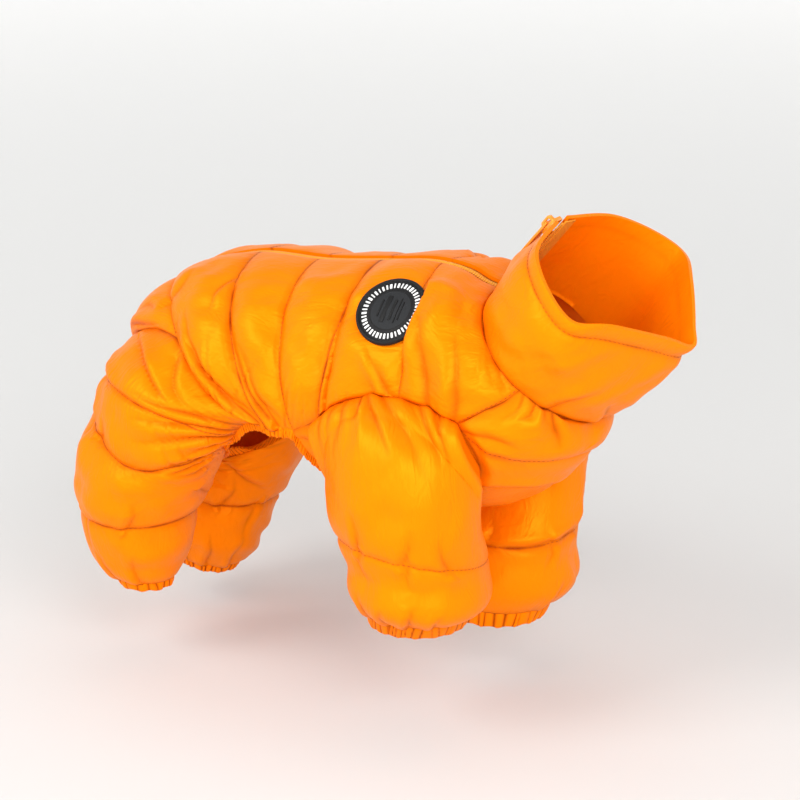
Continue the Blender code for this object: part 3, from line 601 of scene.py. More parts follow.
@dataclass(frozen=True)
class Finish:
    """A material's looks."""

    name: str
    colour: Colour  # base colour, linear
    roughness: float
    drift: float = 0.1  # how far the roughness drifts
    metallic: float = 0.0
    specular: float = 0.5
    tint: Colour = (1.0, 1.0, 1.0)  # tint of the specular reflection
    creases: float = 0.0  # strength of the small creases
    weave: float = 0.0  # strength of the threads
    threads: float = 250.0  # scale of the threads
    coat: float = 0.0
    # painted shade: linear colour mixed into seams and folds, as far as the mesh's shade says
    deep: Colour | None = None
    slot: str | None = None  # the record's slot that it stands for, where its name differs

    def build(self, groups: dict[str, Tree]) -> bpy.types.Material:
        """The Principled material, with the shared effects linked in.

        Args:
            groups: The shared node groups.

        Returns:
            The material.
        """
        made = bpy.data.materials.new(self.name)
        made.use_nodes = True
        tree = made.node_tree
        shader = tree.nodes["Principled BSDF"].inputs
        colour = (*self.colour, 1.0)
        values = {"Base Color": colour, "Roughness": self.roughness, "Metallic": self.metallic,
                  "Specular IOR Level": self.specular, "Specular Tint": (*self.tint, 1.0),
                  "Coat Weight": self.coat}
        for socket, value in values.items():
            shader[socket].default_value = value
        wear = add_node(tree, "Group", {"Roughness": self.roughness, "Amount": self.drift},
                        node_tree=groups["wear"])
        tree.links.new(wear.outputs["Roughness"], shader["Roughness"])
        # painted shade: the base colour is mixed toward the dark colour in seams and folds
        if self.deep:
            shade = add_node(tree, "Group", {"Color": colour, "Deep": (*self.deep, 1.0)},
                             node_tree=groups["shade"])
            tree.links.new(shade.outputs["Color"], shader["Base Color"])
        effects = {"creases": {"Strength": self.creases},
                   "weave": {"Strength": self.weave, "Threads": self.threads}}
        last = {}
        for effect, inputs in effects.items():
            if inputs["Strength"]:
                node = add_node(tree, "Group", inputs | last, node_tree=groups[effect])
                last = {"Normal": node.outputs["Normal"]}
        for socket, normal in last.items():
            tree.links.new(normal, shader[socket])
        return made


# The second colour is the dark red-brown mixed into seams and folds as painted shade.
ORANGE_TINT, PAINTED_SHADE_ORANGE = (1.0, 0.70, 0.16), (0.27, 0.022, 0.0008)
FINISHES = {
    "nylon": Finish("orange_nylon", (0.96, 0.222, 0.0008), 0.38, 0.10, 0.18, specular=0.14,
                    tint=ORANGE_TINT, creases=0.42, weave=0.06, threads=420.0, deep=PAINTED_SHADE_ORANGE),
    "casing": Finish("elastic_casing", (0.94, 0.20, 0.0008), 0.48, 0.12, 0.12, specular=0.10,
                     tint=(1.0, 0.72, 0.16), creases=0.08, weave=0.06, threads=420.0,
                     deep=PAINTED_SHADE_ORANGE),
    "tape": Finish("zip_tape", (0.86, 0.30, 0.01), 0.72, weave=0.9, threads=120.0),
    "coil": Finish("zip_coil", (0.90, 0.40, 0.02), 0.34),
    "cord": Finish("coil_cord", (0.84, 0.30, 0.01), 0.7, slot="zip_coil"),
    "enamel": Finish("slider_enamel", (0.88, 0.30, 0.012), 0.30, metallic=0.15, coat=0.4),
    "rubber": Finish("badge_rubber", (0.005, 0.005, 0.0055), 0.60, 0.12, specular=0.3),
    "grey": Finish("badge_middle", (0.014, 0.015, 0.017), 0.65, 0.12, specular=0.3,
                   slot="badge_rubber"),
    "white": Finish("badge_marks", (0.80, 0.80, 0.79), 0.50, slot="badge_rubber"),
    # Its dark orange-brown is painted shade of the stitch holes; the thread itself is the cloth's
    # orange.
    "thread": Finish("thread", (0.42, 0.055, 0.001), 0.60, specular=0.2, slot="orange_nylon"),
}


def put_in_scene(name: str, data: bpy.types.ID) -> bpy.types.Object:
    """A new object in the scene, with a mesh, light or camera in it.

    Args:
        name: Name of the object.
        data: What is in it.

    Returns:
        The object.
    """
    thing = bpy.data.objects.new(name, data)
    bpy.context.scene.collection.objects.link(thing)
    return thing


class Workshop:
    """Makes the objects and puts them on the frame's bodies."""

    def __init__(self) -> None:
        """Make the materials."""
        groups = {"creases": relief_group(), "weave": weave_group(), "wear": wear_group(),
                  "shade": shade_group()}
        self.materials = {key: finish.build(groups) for key, finish in FINISHES.items()}
        self.triangles = 0

    def add(self, name: str, body: Body, finish: str, sharp: float,
            stands_for: str | None = None) -> bpy.types.Object:
        """A smooth-shaded object from millimetre vertices.

        Args:
            name: Name of the object.
            body: Its vertices and faces, with what cloth has besides.
            finish: Key of its finish.
            sharp: Angle above which an edge is sharp, in degrees.
            stands_for: Node of the frame that it replaces.

        Returns:
            The object.
        """
        vertices, faces, *cloth = body
        mesh = bpy.data.meshes.new(name)
        parts = faces if isinstance(faces, list) else [faces]
        quads = [face[:3] if face[0] == face[3] else face for part in parts
                 for face in part.tolist()]
        mesh.from_pydata(((vertices - HELD_AT) * MM).tolist(), [], quads)
        if cloth:
            layer = mesh.uv_layers.new(name="cloth")
            corners = np.empty(len(mesh.loops), np.int64)
            mesh.loops.foreach_get("vertex_index", corners)
            layer.data.foreach_set("uv", (cloth[0][corners] * 0.01).astype(np.float32).ravel())
        # painted shade at each point, mixed into the cloth's colour by the seam_shade group
        if len(cloth) > 1:
            shade = mesh.attributes.new("shade", "FLOAT", "POINT")
            shade.data.foreach_set("value", cloth[1].astype(np.float32))
        mesh.shade_smooth()
        mesh.set_sharp_from_angle(angle=math.radians(sharp))
        self.triangles += sum(len(quad) - 2 for quad in quads)
        return self.place(name, mesh, finish, stands_for, "suit")

    def copy_node(self, name: str, node: str, rides: str) -> None:
        """Copy a node of the frame in enamel, with its edges rounded.

        Args:
            name: Name of the object.
            node: The node.
            rides: Body of the frame that it moves with.
        """
        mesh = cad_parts[node].data.copy()
        mesh.name = name
        mesh.materials.clear()
        mesh.shade_smooth()
        thing = self.place(name, mesh, "enamel", node, rides)
        thing.modifiers.new("weld", "WELD").merge_threshold = 0.02 * MM
        round_off = thing.modifiers.new("round", "BEVEL")
        round_off.width, round_off.segments = 0.25 * MM, 3
        round_off.limit_method, round_off.angle_limit = "ANGLE", math.radians(40)
        round_off.harden_normals = True

    def place(self, name: str, mesh: bpy.types.Mesh, finish: str, stands_for: str | None,
              rides: str) -> bpy.types.Object:
        """Put a mesh on its body, with its finish and the node that it replaces.

        Args:
            name: Name of the object.
            mesh: Its mesh.
            finish: Key of its finish.
            stands_for: Node of the frame that it replaces.
            rides: Body of the frame that it moves with.

        Returns:
            The object.
        """
        mesh.materials.append(self.materials[finish])
        thing = put_in_scene(name, mesh)
        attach(thing, rides)
        if stands_for:
            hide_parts(stands_for)
        return thing


# ------------ cloth shells
FOLD_GAIN = 1.55      # on the depth of every fold of the tables


class Way(Enum):
    """What a fold does to the surface across its path."""

    CREASE = "C"      # a sharp valley beside a soft swell
    RIDGE = "R"       # a soft roll standing up
    HOLLOW = "H"      # a soft, wide dip
    TUCK = "T"        # cloth rolled over itself: a lip on one side of the path, a step on the other


@dataclass(frozen=True)
class Fold:
    """One listed fold."""

    way: Way  # its kind
    path: tuple  # places on the piece that it runs through, in the piece's own two coordinates
    width: float  # distance over which it fades, in millimetres
    depth: float  # how far it moves the cloth, in millimetres
    peak: float  # where along the path it is strongest, from 0 to 1

    @classmethod
    def read(cls, row: str) -> "Fold":
        """The fold of one row of the table.

        Args:
            row: Its kind, width, depth, peak and the spots of its path.

        Returns:
            The fold.
        """
        way, width, depth, peak, *spots = row.split()
        pairs = [spot.split(",") for spot in spots]
        path = tuple((int(share) / 1000, int(turn)) for share, turn in pairs)
        return cls(Way(way), path, float(width), float(depth), float(peak))


@dataclass(frozen=True)
class Gather:
    """Small puckers along a stitched line."""

    line: int  # row or column of the grid
    by_row: bool  # true for a row, false for a column
    pitch: float  # mean distance between puckers
    depth: float  # mean depth of a pucker
    reach: float  # mean length of a pucker
    first: int = 0  # first place along the line, as a number of the grid
    last: int | None = None  # last place along it, or None for the line's end
    lean: float = 0.0  # how far puckers lean along the line for each millimetre away from it


class Shell:
    """A sewn cloth piece: two cloth layers over a grid, with the padding between them."""

    def __init__(self, name: str, points: Array, loft: Array, place: tuple[Array, Array],
                 inside: Array, sewn: list[int], closed: bool = False) -> None:
        """Set the piece's grid.

        Args:
            name: Name of the frame's node.
            points: Grid of points where the layers lie pressed together.
            loft: Height of the padding at each point.
            place: The two coordinates used to place folds, at each point.
            inside: A point inside the garment.
            sewn: Rows stitched through.
            closed: True where the grid's columns go all round.
        """
        self.name, self.points, self.closed, self.sewn = name, points, closed, sewn
        self.loft = np.broadcast_to(loft, points.shape[:2]).copy()
        self.place = np.stack(np.broadcast_arrays(*place), axis=-1).astype(float)
        self.normals = self.outward(points, inside)
        self.outer = points
        # painted shade at each point of the grid, for seams, puckers and folds
        self.shade = np.zeros(points.shape[:2])
        self.fine = 1

    def outward(self, points: Array, inside: Array) -> Array:
        """Normals of a grid of points, turned away from a point inside.

        Args:
            points: The grid.
            inside: A point inside the garment.

        Returns:
            The normals.
        """
        if self.closed:
            ring = np.concatenate([points[:, -1:], points, points[:, :1]], axis=1)
            across = (ring[:, 2:] - ring[:, :-2]) / 2
        else:
            across = np.gradient(points, axis=1)
        normals = unit(np.cross(np.gradient(points, axis=0), across))
        middle = points.shape[0] // 2
        facing = np.sum(normals[middle] * (points[middle] - inside))
        return normals if facing > 0 else -normals

    def edges(self) -> list[tuple]:
        """The grid's edges.

        Returns:
            The index of each edge, with that of the line inside it.
        """
        pairs = [((0, slice(None)), (1, slice(None))), ((-1, slice(None)), (-2, slice(None)))]
        if not self.closed:
            pairs += [((slice(None), 0), (slice(None), 1)), ((slice(None), -1), (slice(None), -2))]
        return pairs

    def border(self, edge: tuple, inside: tuple) -> Array:
        """An edge's points, their normals and the points inside them, one row for each."""
        return np.stack([self.points[edge], self.normals[edge], self.points[inside]], axis=1)

    def pinned(self) -> Array:
        """The grid's points that are held by stitches.

        Returns:
            True at each held point.
        """
        held = np.zeros(self.points.shape[:2], bool)
        for edge, _ in self.edges():
            held[edge] = True
        held[self.sewn] = True
        return held

    def fill(self, blown: Array) -> None:
        """Blend the padding's height with that of the settled cloth, smoothed and capped.

        Args:
            blown: The settled cloth's points.
        """
        rise = np.sum((blown - self.points) * self.normals, axis=-1)
        rise = np.clip(rise, 0, 1.25 * self.loft + 0.3)
        free = ~self.pinned()
        for _ in range(8):
            for axis in (0, 1):
                mean = (np.roll(rise, 1, axis) + 2 * rise + np.roll(rise, -1, axis)) / 4
                rise = np.where(free, mean, rise)
        self.loft = 0.5 * self.loft + 0.5 * rise

    def swell(self, rng: np.random.Generator) -> None:
        """Raise the padded layer, a little uneven from place to place.

        Args:
            rng: Source of the unevenness.
        """
        fill = self.loft.copy()
        calm = np.clip(self.loft / 4.0, 0, 1)
        for _ in range(9):
            wave, bend = (unit(rng.normal(size=3)) * 2 * np.pi / rng.uniform(*size)
                          for size in ((15, 38), (25, 50)))
            turn = self.points @ wave + rng.uniform(0, 6.28)
            fill += 0.26 * calm * np.sin(turn + 1.1 * np.sin(self.points @ bend + turn[0, 0]))
        self.outer = self.points + self.normals * fill[..., None]

    def refine(self) -> None:
        """Double the grid both ways and take the padded layer's own normals."""
        for axis in (0, 1):
            closed = self.closed and axis == 1
            self.points = refined(self.points, axis, closed)
            self.outer = refined(self.outer, axis, closed)
            self.normals = unit(refined(self.normals, axis, closed))
            if closed:
                wrap = self.place[:, :1] + [0.0, -360.0]
                self.place = refined(np.concatenate([self.place, wrap], axis=1), 1)[:, :-1]
            else:
                self.place = refined(self.place, axis)
            self.loft = np.clip(refined(self.loft[..., None], axis, closed)[..., 0], 0, None)
        self.shade = np.zeros(self.points.shape[:2])
        self.sewn = [row * 2 for row in self.sewn]
        self.fine *= 2

    def press(self, heights: Array) -> None:
        """Move the padded layer along the piece's normals, but never into the wall.

        Args:
            heights: How far each point moves.
        """
        self.outer = self.outer + heights[..., None] * self.normals
        below = np.sum((self.outer - self.points) * self.normals, axis=-1)
        self.outer = self.outer + np.clip(-below - 0.5, 0, None)[..., None] * self.normals

    def path_points(self, path: tuple, steps: int = 41) -> Array:
        """Points of the padded layer along a path.

        Args:
            path: Spots in the piece's two coordinates.
            steps: Points wanted.

        Returns:
            The points.
        """
        knots = np.array(path, float)
        reach = lengths_along(knots / [1.0, 100.0])
        at = np.linspace(0, reach[-1], steps)
        places = glide(reach, knots, at)
        flat = (self.place / [1.0, 100.0]).reshape(-1, 2)
        outer = self.outer.reshape(-1, 3)
        line = []
        for spot in places / [1.0, 100.0]:
            away = np.linalg.norm(flat - spot, axis=1)
            close = np.argsort(away)[:4]
            share = 1 / (away[close] + 1e-6)
            line.append((outer[close] * share[:, None]).sum(axis=0) / share.sum())
        line = np.array(line)
        for _ in range(4):
            line[1:-1] = (line[:-2] + 2 * line[1:-1] + line[2:]) / 4
        return line

    def fold_heights(self, fold: Fold) -> Array:
        """Shape one fold and paint shade along its line.

        Args:
            fold: The fold.

        Returns:
            The height to add at every point of the grid.
        """
        line = self.path_points(fold.path)
        heights = np.zeros(self.outer.shape[:2])
        reach = 5.0 * fold.width
        low, high = line.min(axis=0) - reach, line.max(axis=0) + reach
        near = np.all((self.outer > low) & (self.outer < high), axis=-1)
        spots, normals = self.outer[near], self.normals[near]
        if not len(spots):
            return heights
        start, step = line[:-1], np.diff(line, axis=0)
        span = np.maximum(np.sum(step * step, axis=1), 1e-9)
        rel = spots[:, None] - start[None]
        t = np.clip(np.sum(rel * step[None], axis=-1) / span[None], 0, 1)
        gap = rel - t[..., None] * step[None]
        away = np.linalg.norm(gap, axis=-1)
        best = np.argmin(away, axis=1)
        rows = np.arange(len(spots))
        away, t, gap = away[rows, best], t[rows, best], gap[rows, best]
        turn = np.sum(np.cross(unit(step)[best], gap) * normals, axis=-1)
        share = (best + t) / len(step)
        room = max(fold.peak, 1 - fold.peak)
        taper = np.clip(1 - np.abs(share - fold.peak) / room, 0, 1) ** 0.7
        height = profile(fold.way, away / fold.width, turn)
        heights[near] = FOLD_GAIN * fold.depth * taper * height
        # painted shade along creases and tucks: a narrow dark line and a wide soft fringe
        if fold.way in (Way.CREASE, Way.TUCK):
            narrow = np.exp(-(away / (0.30 * fold.width)) ** 1.5)
            mark = (0.7 * narrow + 0.3 * np.exp(-away / fold.width)) * np.clip(taper * 1.3, 0, 1)
            strength = min(0.8, 0.34 * fold.depth)
            self.shade[near] = np.maximum(self.shade[near], strength * mark)
        return heights

    def gather_heights(self, gather: Gather, rng: np.random.Generator) -> Array:
        """Shape the puckers along a stitched line.

        Args:
            gather: The puckers.
            rng: Source of the unevenness.

        Returns:
            The height to add at every point of the grid.
        """
        x, d, line = self.beside(gather.line, gather.by_row)
        held = 1.0 if line in (0, len(d) - 1) else 0.6
        total = np.zeros(d.shape)
        at = x[gather.first] + rng.uniform(0, gather.pitch)
        end = x[-1] if gather.last is None else x[gather.last]
        while at < end:
            depth = gather.depth * rng.uniform(0.35, 1.6)
            width = gather.pitch * rng.uniform(0.16, 0.34)
            reach = gather.reach * rng.uniform(0.45, 1.7)
            slant = gather.lean + rng.normal(0, 0.28)
            for sign in (1, -1):
                if rng.random() < 0.18:
                    continue
                shift = rng.normal(0, 0.15)
                ahead = np.abs(d) / (reach * rng.uniform(0.7, 1.3))
                fade = np.clip(1 - ahead, 0, 1) ** 1.4 * (1 - held * np.exp(-np.abs(d) / 1.2))
                off = x[None] - at - (slant * sign + shift) * np.abs(d)
                off = off / (width * (1 + 0.9 * ahead))
                pucker = (1 - 1.6 * off * off) * np.exp(-off * off)
                total -= depth * pucker * fade * (d * sign >= 0)
            at += gather.pitch * rng.uniform(0.45, 1.75)
        if self.closed and gather.by_row:
            total = total[:, :-1]
        return total if gather.by_row else total.T

    def beside(self, line: int, by_row: bool) -> tuple[Array, Array, int]:
        """Measure from a line of the grid.

        Args:
            line: Row or column of the grid.
            by_row: True for a row.

        Returns:
            Lengths along the line, every point's distance from it, and its number from 0.
        """
        grid = self.outer if by_row else np.swapaxes(self.outer, 0, 1)
        line %= grid.shape[0]
        if self.closed and by_row:
            grid = np.concatenate([grid, grid[:, :1]], axis=1)
        steps = np.linalg.norm(np.diff(grid, axis=0), axis=-1)
        from_start = np.concatenate([np.zeros((1, grid.shape[1])), np.cumsum(steps, axis=0)])
        return lengths_along(grid[line]), from_start - from_start[line], line

    def darken(self, line: int, by_row: bool, strength: float, width: float,
               rng: np.random.Generator) -> None:
        """Paint shade into a stitched line: dark in it, with a soft fringe, uneven along it.

        Args:
            line: Row or column of the grid.
            by_row: True for a row.
            strength: Shade in the line.
            width: Distance over which it fades.
            rng: Source of the unevenness.
        """
        x, d, _ = self.beside(line, by_row)
        drift = sum(np.sin(x / size + rng.uniform(0, 6.28)) for size in (2.3, 4.9, 11.0)) / 3
        away = np.abs(d) / width
        mark = np.clip(0.72 + 0.5 * drift, 0, 1) * np.exp(-away ** 1.3)
        mark = strength * np.maximum(mark, 0.42 * np.exp(-away / 2.6))
        if self.closed and by_row:
            mark = mark[:, :-1]
        self.shade = np.maximum(self.shade, mark if by_row else mark.T)

    def layers(self) -> tuple[Array, Array]:
        """The outer and inner faces of the finished wall.

        Returns:
            The points of both faces.
        """
        rise = np.sum((self.outer - self.points) * self.normals, axis=-1, keepdims=True)
        outer = self.outer + self.normals * (WALL / 2)
        inner = self.points - self.normals * (WALL / 2 + 0.12 * np.clip(rise, 0, None))
        return outer, inner

    def solid(self) -> tuple[Array, list[Array], Array, Array]:
        """The finished wall, coarser inside than outside.

        Returns:
            Vertices, faces, cloth coordinates and painted shade.
        """
        outer, inner = self.layers()
        along = lengths_along(outer.mean(axis=1))
        across = lengths_along(outer[len(outer) // 2])
        cloth = np.stack(np.broadcast_arrays(across[None, :], along[:, None]), axis=-1)
        vertices = np.concatenate([outer.reshape(-1, 3), inner[::2, ::2].reshape(-1, 3)])
        cloth = np.concatenate([cloth.reshape(-1, 2), cloth[::2, ::2].reshape(-1, 2)])
        top = index_grid(*outer.shape[:2], self.closed)
        low = index_grid(*inner[::2, ::2].shape[:2], self.closed) + outer.shape[0] * outer.shape[1]
        faces = [grid_quads(top), grid_quads(low)[:, ::-1],
                 rim_faces(top[0], low[0])[:, ::-1], rim_faces(top[-1], low[-1])]
        if not self.closed:
            faces += [rim_faces(top[:, 0], low[:, 0]), rim_faces(top[:, -1], low[:, -1])[:, ::-1]]
        # painted shade, weaker on the inner face
        shade = np.concatenate([self.shade.ravel(), 0.3 * self.shade[::2, ::2].ravel()])
        return vertices, faces, cloth, shade


def profile(way: Way, away: Array, turn: Array) -> Array:
    """Height across a fold, for depth one.

    Args:
        way: Kind of fold.
        away: Distance from the path over the fold's width.
        turn: Above 0 on the path's right.

    Returns:
        The height at each distance.
    """
    if way is Way.CREASE:
        steep = 0.55 * np.exp(-((1.2 * away - 1.6) / 1.2) ** 2) - np.exp(-2.0 * away)
        return np.where(turn > 0, steep, -np.exp(-0.8 * away))
    if way is Way.RIDGE:
        return np.exp(-away ** 1.5)
    if way is Way.HOLLOW:
        return -np.exp(-away ** 2)
    lip = np.exp(-((away - 0.8) / 1.3) ** 2) * (turn > 0)
    return lip - np.exp(-away) * np.where(turn > 0, 0.9 * np.exp(-4 * away), 1.0)


def index_grid(rows: int, columns: int, closed: bool) -> Array:
    """Vertex numbers of a grid, with its first column again at the end where it is closed."""
    grid = np.arange(rows * columns).reshape(rows, columns)
    return np.concatenate([grid, grid[:, :1]], axis=1) if closed else grid


def grid_quads(grid: Array) -> Array:
    """Quads between the vertex numbers of a grid."""
    corners = [grid[:-1, :-1], grid[:-1, 1:], grid[1:, 1:], grid[1:, :-1]]
    return np.stack(corners, -1).reshape(-1, 4)


def tube_quads(rows: int, columns: int) -> Array:
    """Quads between rings of vertices, the other way round than grid_quads."""
    return grid_quads(index_grid(rows, columns, True))[:, [0, 3, 2, 1]]


def fan(middle: int, loop: Array) -> Array:
    """Triangles from a middle vertex to a loop, as quads that end where they start."""
    hub = np.full(len(loop), middle)
    return np.stack([hub, loop, np.roll(loop, -1), hub], -1)


def rim_faces(fine: Array, coarse: Array) -> Array:
    """Faces between a fine edge and a coarse one with half as many steps."""
    return np.stack([fine[:-1:2], fine[1::2], fine[2::2], coarse[1:], coarse[:-1]][::-1], -1)


def weld_normals(shells: list[Shell]) -> None:
    """Where pieces share a seam, give their points one common normal.

    Args:
        shells: The pieces.
    """
    total: dict[tuple, Array] = {}
    for shell in shells:
        for edge, _ in shell.edges():
            for point, normal in zip(shell.points[edge], shell.normals[edge]):
                key = tuple(np.round(point, 1))
                total[key] = total.get(key, 0) + normal
    for shell in shells:
        for edge, _ in shell.edges():
            keys = [tuple(np.round(point, 1)) for point in shell.points[edge]]
            shell.normals[edge] = unit(np.array([total[key] for key in keys]))


def blow(shell: Shell, spare: float, pressure: float, frames: int) -> Array:
    """Settle the padded layer as cloth under pressure, held along its stitches.

    Args:
        shell: The piece.
        spare: Share by which the cloth is longer than the surface that it covers.
        pressure: Pressure of the padding.
        frames: Steps to run.

    Returns:
        The grid of settled points.
    """
    start = shell.points + shell.normals * (shell.loft * 0.75)[..., None]
    rows, cols = shell.points.shape[:2]
    mesh = bpy.data.meshes.new("settling")
    faces = grid_quads(index_grid(rows, cols, shell.closed))
    mesh.from_pydata((start.reshape(-1, 3) * MM).tolist(), [], faces.tolist())
    body = put_in_scene("settling", mesh)
    held = body.vertex_groups.new(name="held")
    held.add(np.flatnonzero(shell.pinned()).tolist(), 1.0, "REPLACE")
    cloth = body.modifiers.new("cloth", "CLOTH")
    terms = cloth.settings
    terms.vertex_group_mass = "held"
    terms.mass = 0.3
    terms.use_pressure = True
    terms.uniform_pressure_force = pressure if facing_out(mesh, shell) else -pressure
    terms.shrink_min = -spare
    terms.tension_stiffness = terms.compression_stiffness = 15
    terms.shear_stiffness = 5
    terms.bending_stiffness = 2
    terms.effector_weights.gravity = 0
    terms.quality = 4
    cloth.collision_settings.use_collision = False
    cloth.point_cache.frame_end = frames + 1
    for step in range(1, frames + 1):
        bpy.context.scene.frame_set(step)
    settled = body.evaluated_get(bpy.context.evaluated_depsgraph_get()).data
    flat = np.empty(rows * cols * 3)
    settled.vertices.foreach_get("co", flat)
    bpy.data.objects.remove(body, do_unlink=True)
    bpy.data.meshes.remove(mesh)
    bpy.context.scene.frame_set(1)
    return flat.reshape(rows, cols, 3) / MM


def facing_out(mesh: bpy.types.Mesh, shell: Shell) -> bool:
    """Whether a mesh's faces look outward over the piece.

    Args:
        mesh: The mesh of the piece's grid.
        shell: The piece.

    Returns:
        True where they do.
    """
    mesh.update()
    face = mesh.polygons[len(mesh.polygons) // 2]
    return float(np.dot(face.normal, shell.normals.reshape(-1, 3)[face.vertices[0]])) > 0


# ------------ cutting the pieces
BADGE_S, BADGE_ANGLE, BADGE_RADIUS, BADGE_BED = 0.757, 45.5, 18.0, 2.6


class Suit:
    """The jumpsuit's shells, cut so that neighbours share the points of their seams."""

    def __init__(self) -> None:
        """Cut every piece and give the seams common normals."""
        self.backs = {side: self.cut_back(side) for side in Side}
        self.chest = self.cut_chest()
        self.collar = self.cut_collar()
        self.sleeves = {side: self.cut_sleeve(side) for side in Side}
        self.legs = {side: self.cut_leg(side) for side in Side}
        weld_normals(self.shells)

    @property
    def shells(self) -> list[Shell]:
        """All the shells."""
        return [*self.backs.values(), self.chest, self.collar, *self.sleeves.values(),
                *self.legs.values()]

    def cut_back(self, side: Side) -> Shell:
        """A back panel, from the zip to the hip, flank, armhole and shoulder seams.

        Args:
            side: The wearer's side.

        Returns:
            The panel.
        """
        values, loft = bay_grid(BACK_BAYS)
        v = np.linspace(0, 1, BACK_COLUMNS * FINE_ACROSS + 1)[None, :]
        s = values[:, :1] + (values[:, 1:2] - values[:, :1]) * v + values[:, 2:] * dome(v, 1.0)
        low = np.interp(values[:, 1], *np.array(BACK_LOWER_EDGE, float).T)[:, None]
        angle = zip_angle(s) * (1 - v) + low * v
        points = trunk(s, angle, side)
        loft = loft[:, None] * dome(v, 0.35)
        hung = smooth_step(0.36, 0.44, s) * (1 - smooth_step(0.54, 0.60, s))
        loft = loft * (1 - 0.75 * hung * smooth_step(0.84, 1.0, v))
        flat = 0.45 if side is Side.RIGHT else 0.75
        loft = loft * (1 - flat * smooth_step(0.24, 0.34, s) * (1 - smooth_step(0.05, 0.36, v)))
        if side is Side.RIGHT:
            away = np.linalg.norm(points - trunk(BADGE_S, BADGE_ANGLE, side), axis=-1)
            bed = np.exp(-(away / (BADGE_RADIUS * 1.2)) ** 6)
            loft = loft * (1 - bed) + BADGE_BED * bed
        return Shell(f"back_{side.word}", points, loft, (s, angle),
                     np.array([0.0, 0.0, 160.0]), sewn_rows(BACK_BAYS))

    def cut_chest(self) -> Shell:
        """The chest and belly panel, from the right side's seams to the left side's.

        Returns:
            The panel.
        """
        values, loft = bay_grid(CHEST_BAYS)
        v = np.linspace(-1, 1, CHEST_COLUMNS * FINE_ACROSS + 1)[None, :]
        s = values[:, :1] + (values[:, 1:2] - values[:, :1]) * np.cos(v * np.pi / 2) ** 2
        edge = np.interp(values[:, 0], *np.array(CHEST_EDGE, float).T)[:, None]
        angle = 180 + (180 - edge) * v
        loft = loft[:, None] * dome((v + 1) / 2, 1.3)
        return Shell("chest_panel", trunk(s, angle, Side.RIGHT), loft, (s, angle),
                     np.array([80.0, 0.0, 170.0]), sewn_rows(CHEST_BAYS))

    def cut_sleeve(self, side: Side) -> Shell:
        """A sleeve, from the armhole's rear corner over its top and back under it.

        Args:
            side: The wearer's side.

        Returns:
            The sleeve.
        """
        back, chest = bay_lines(BACK_BAYS), bay_lines(CHEST_BAYS)
        upper = self.backs[side].points[back["armhole_rear"]:back["armhole_front"] + 1, -1]
        edge = 0 if side is Side.RIGHT else -1
        lower = self.chest.points[chest["armhole_rear"]:chest["chest_line"] + 1, edge][::-1]
        top = np.concatenate([upper, lower[1:-1]])
        turns = np.concatenate([np.linspace(180, 0, len(upper)),
                                np.linspace(0, -180, len(lower))[1:-1]])
        values, loft = bay_grid(SLEEVE_BAYS)
        r = values[:, :1]
        under = np.clip(1 - 1.5 * np.sin(np.radians(turns)), 0, 1)
        points = limb(limb_rings(SLEEVES[side], r), turns[None], side)
        points = settle(top, points, r, 0.42, under)
        points = clear_of_trunk(points, SLEEVE_CLEARANCE * (1 - np.exp(-r[:, 0] / 0.07)), side)
        loft = loft[:, None] * (1 - 0.55 * under)[None] * (0.3 + 0.7 * smooth_step(0, 0.2, r))
        return Shell(f"sleeve_{side.word}", points, loft, (r, turns[None]),
                     points.mean(axis=1)[len(points) // 2], sewn_rows(SLEEVE_BAYS), closed=True)

    def cut_leg(self, side: Side) -> Shell:
        """A hind leg, wrapped from the front of the thigh round its outer side to the inseam.

        Args:
            side: The wearer's side.

        Returns:
            The leg.
        """
        row = bay_lines(BACK_BAYS)["flank_corner"]
        hip = halved(self.backs[side].points[:row + 1, -1])[::-1]
        values, loft = bay_grid(LEG_BAYS)
        r = values[:, :1]
        rings = HIND_LEGS[side]
        w = np.linspace(0, 1, len(hip))[None]
        knots = columns(rings, "r")[:, 0]
        front, rear = (np.interp(r, knots, columns(rings, name)[:, 0]) for name in ("front", "rear"))
        turns = front * (1 - w) + rear * w
        points = settle(hip, limb(limb_rings(rings, r), turns, side), r, 0.24)
        edge_fade = np.where(r > 0.7, 1.0, dome(w, 0.42))
        return Shell(f"leg_{side.word}", points, loft[:, None] * edge_fade, (r, turns),
                     points.mean(axis=1)[len(points) // 2], sewn_rows(LEG_BAYS))

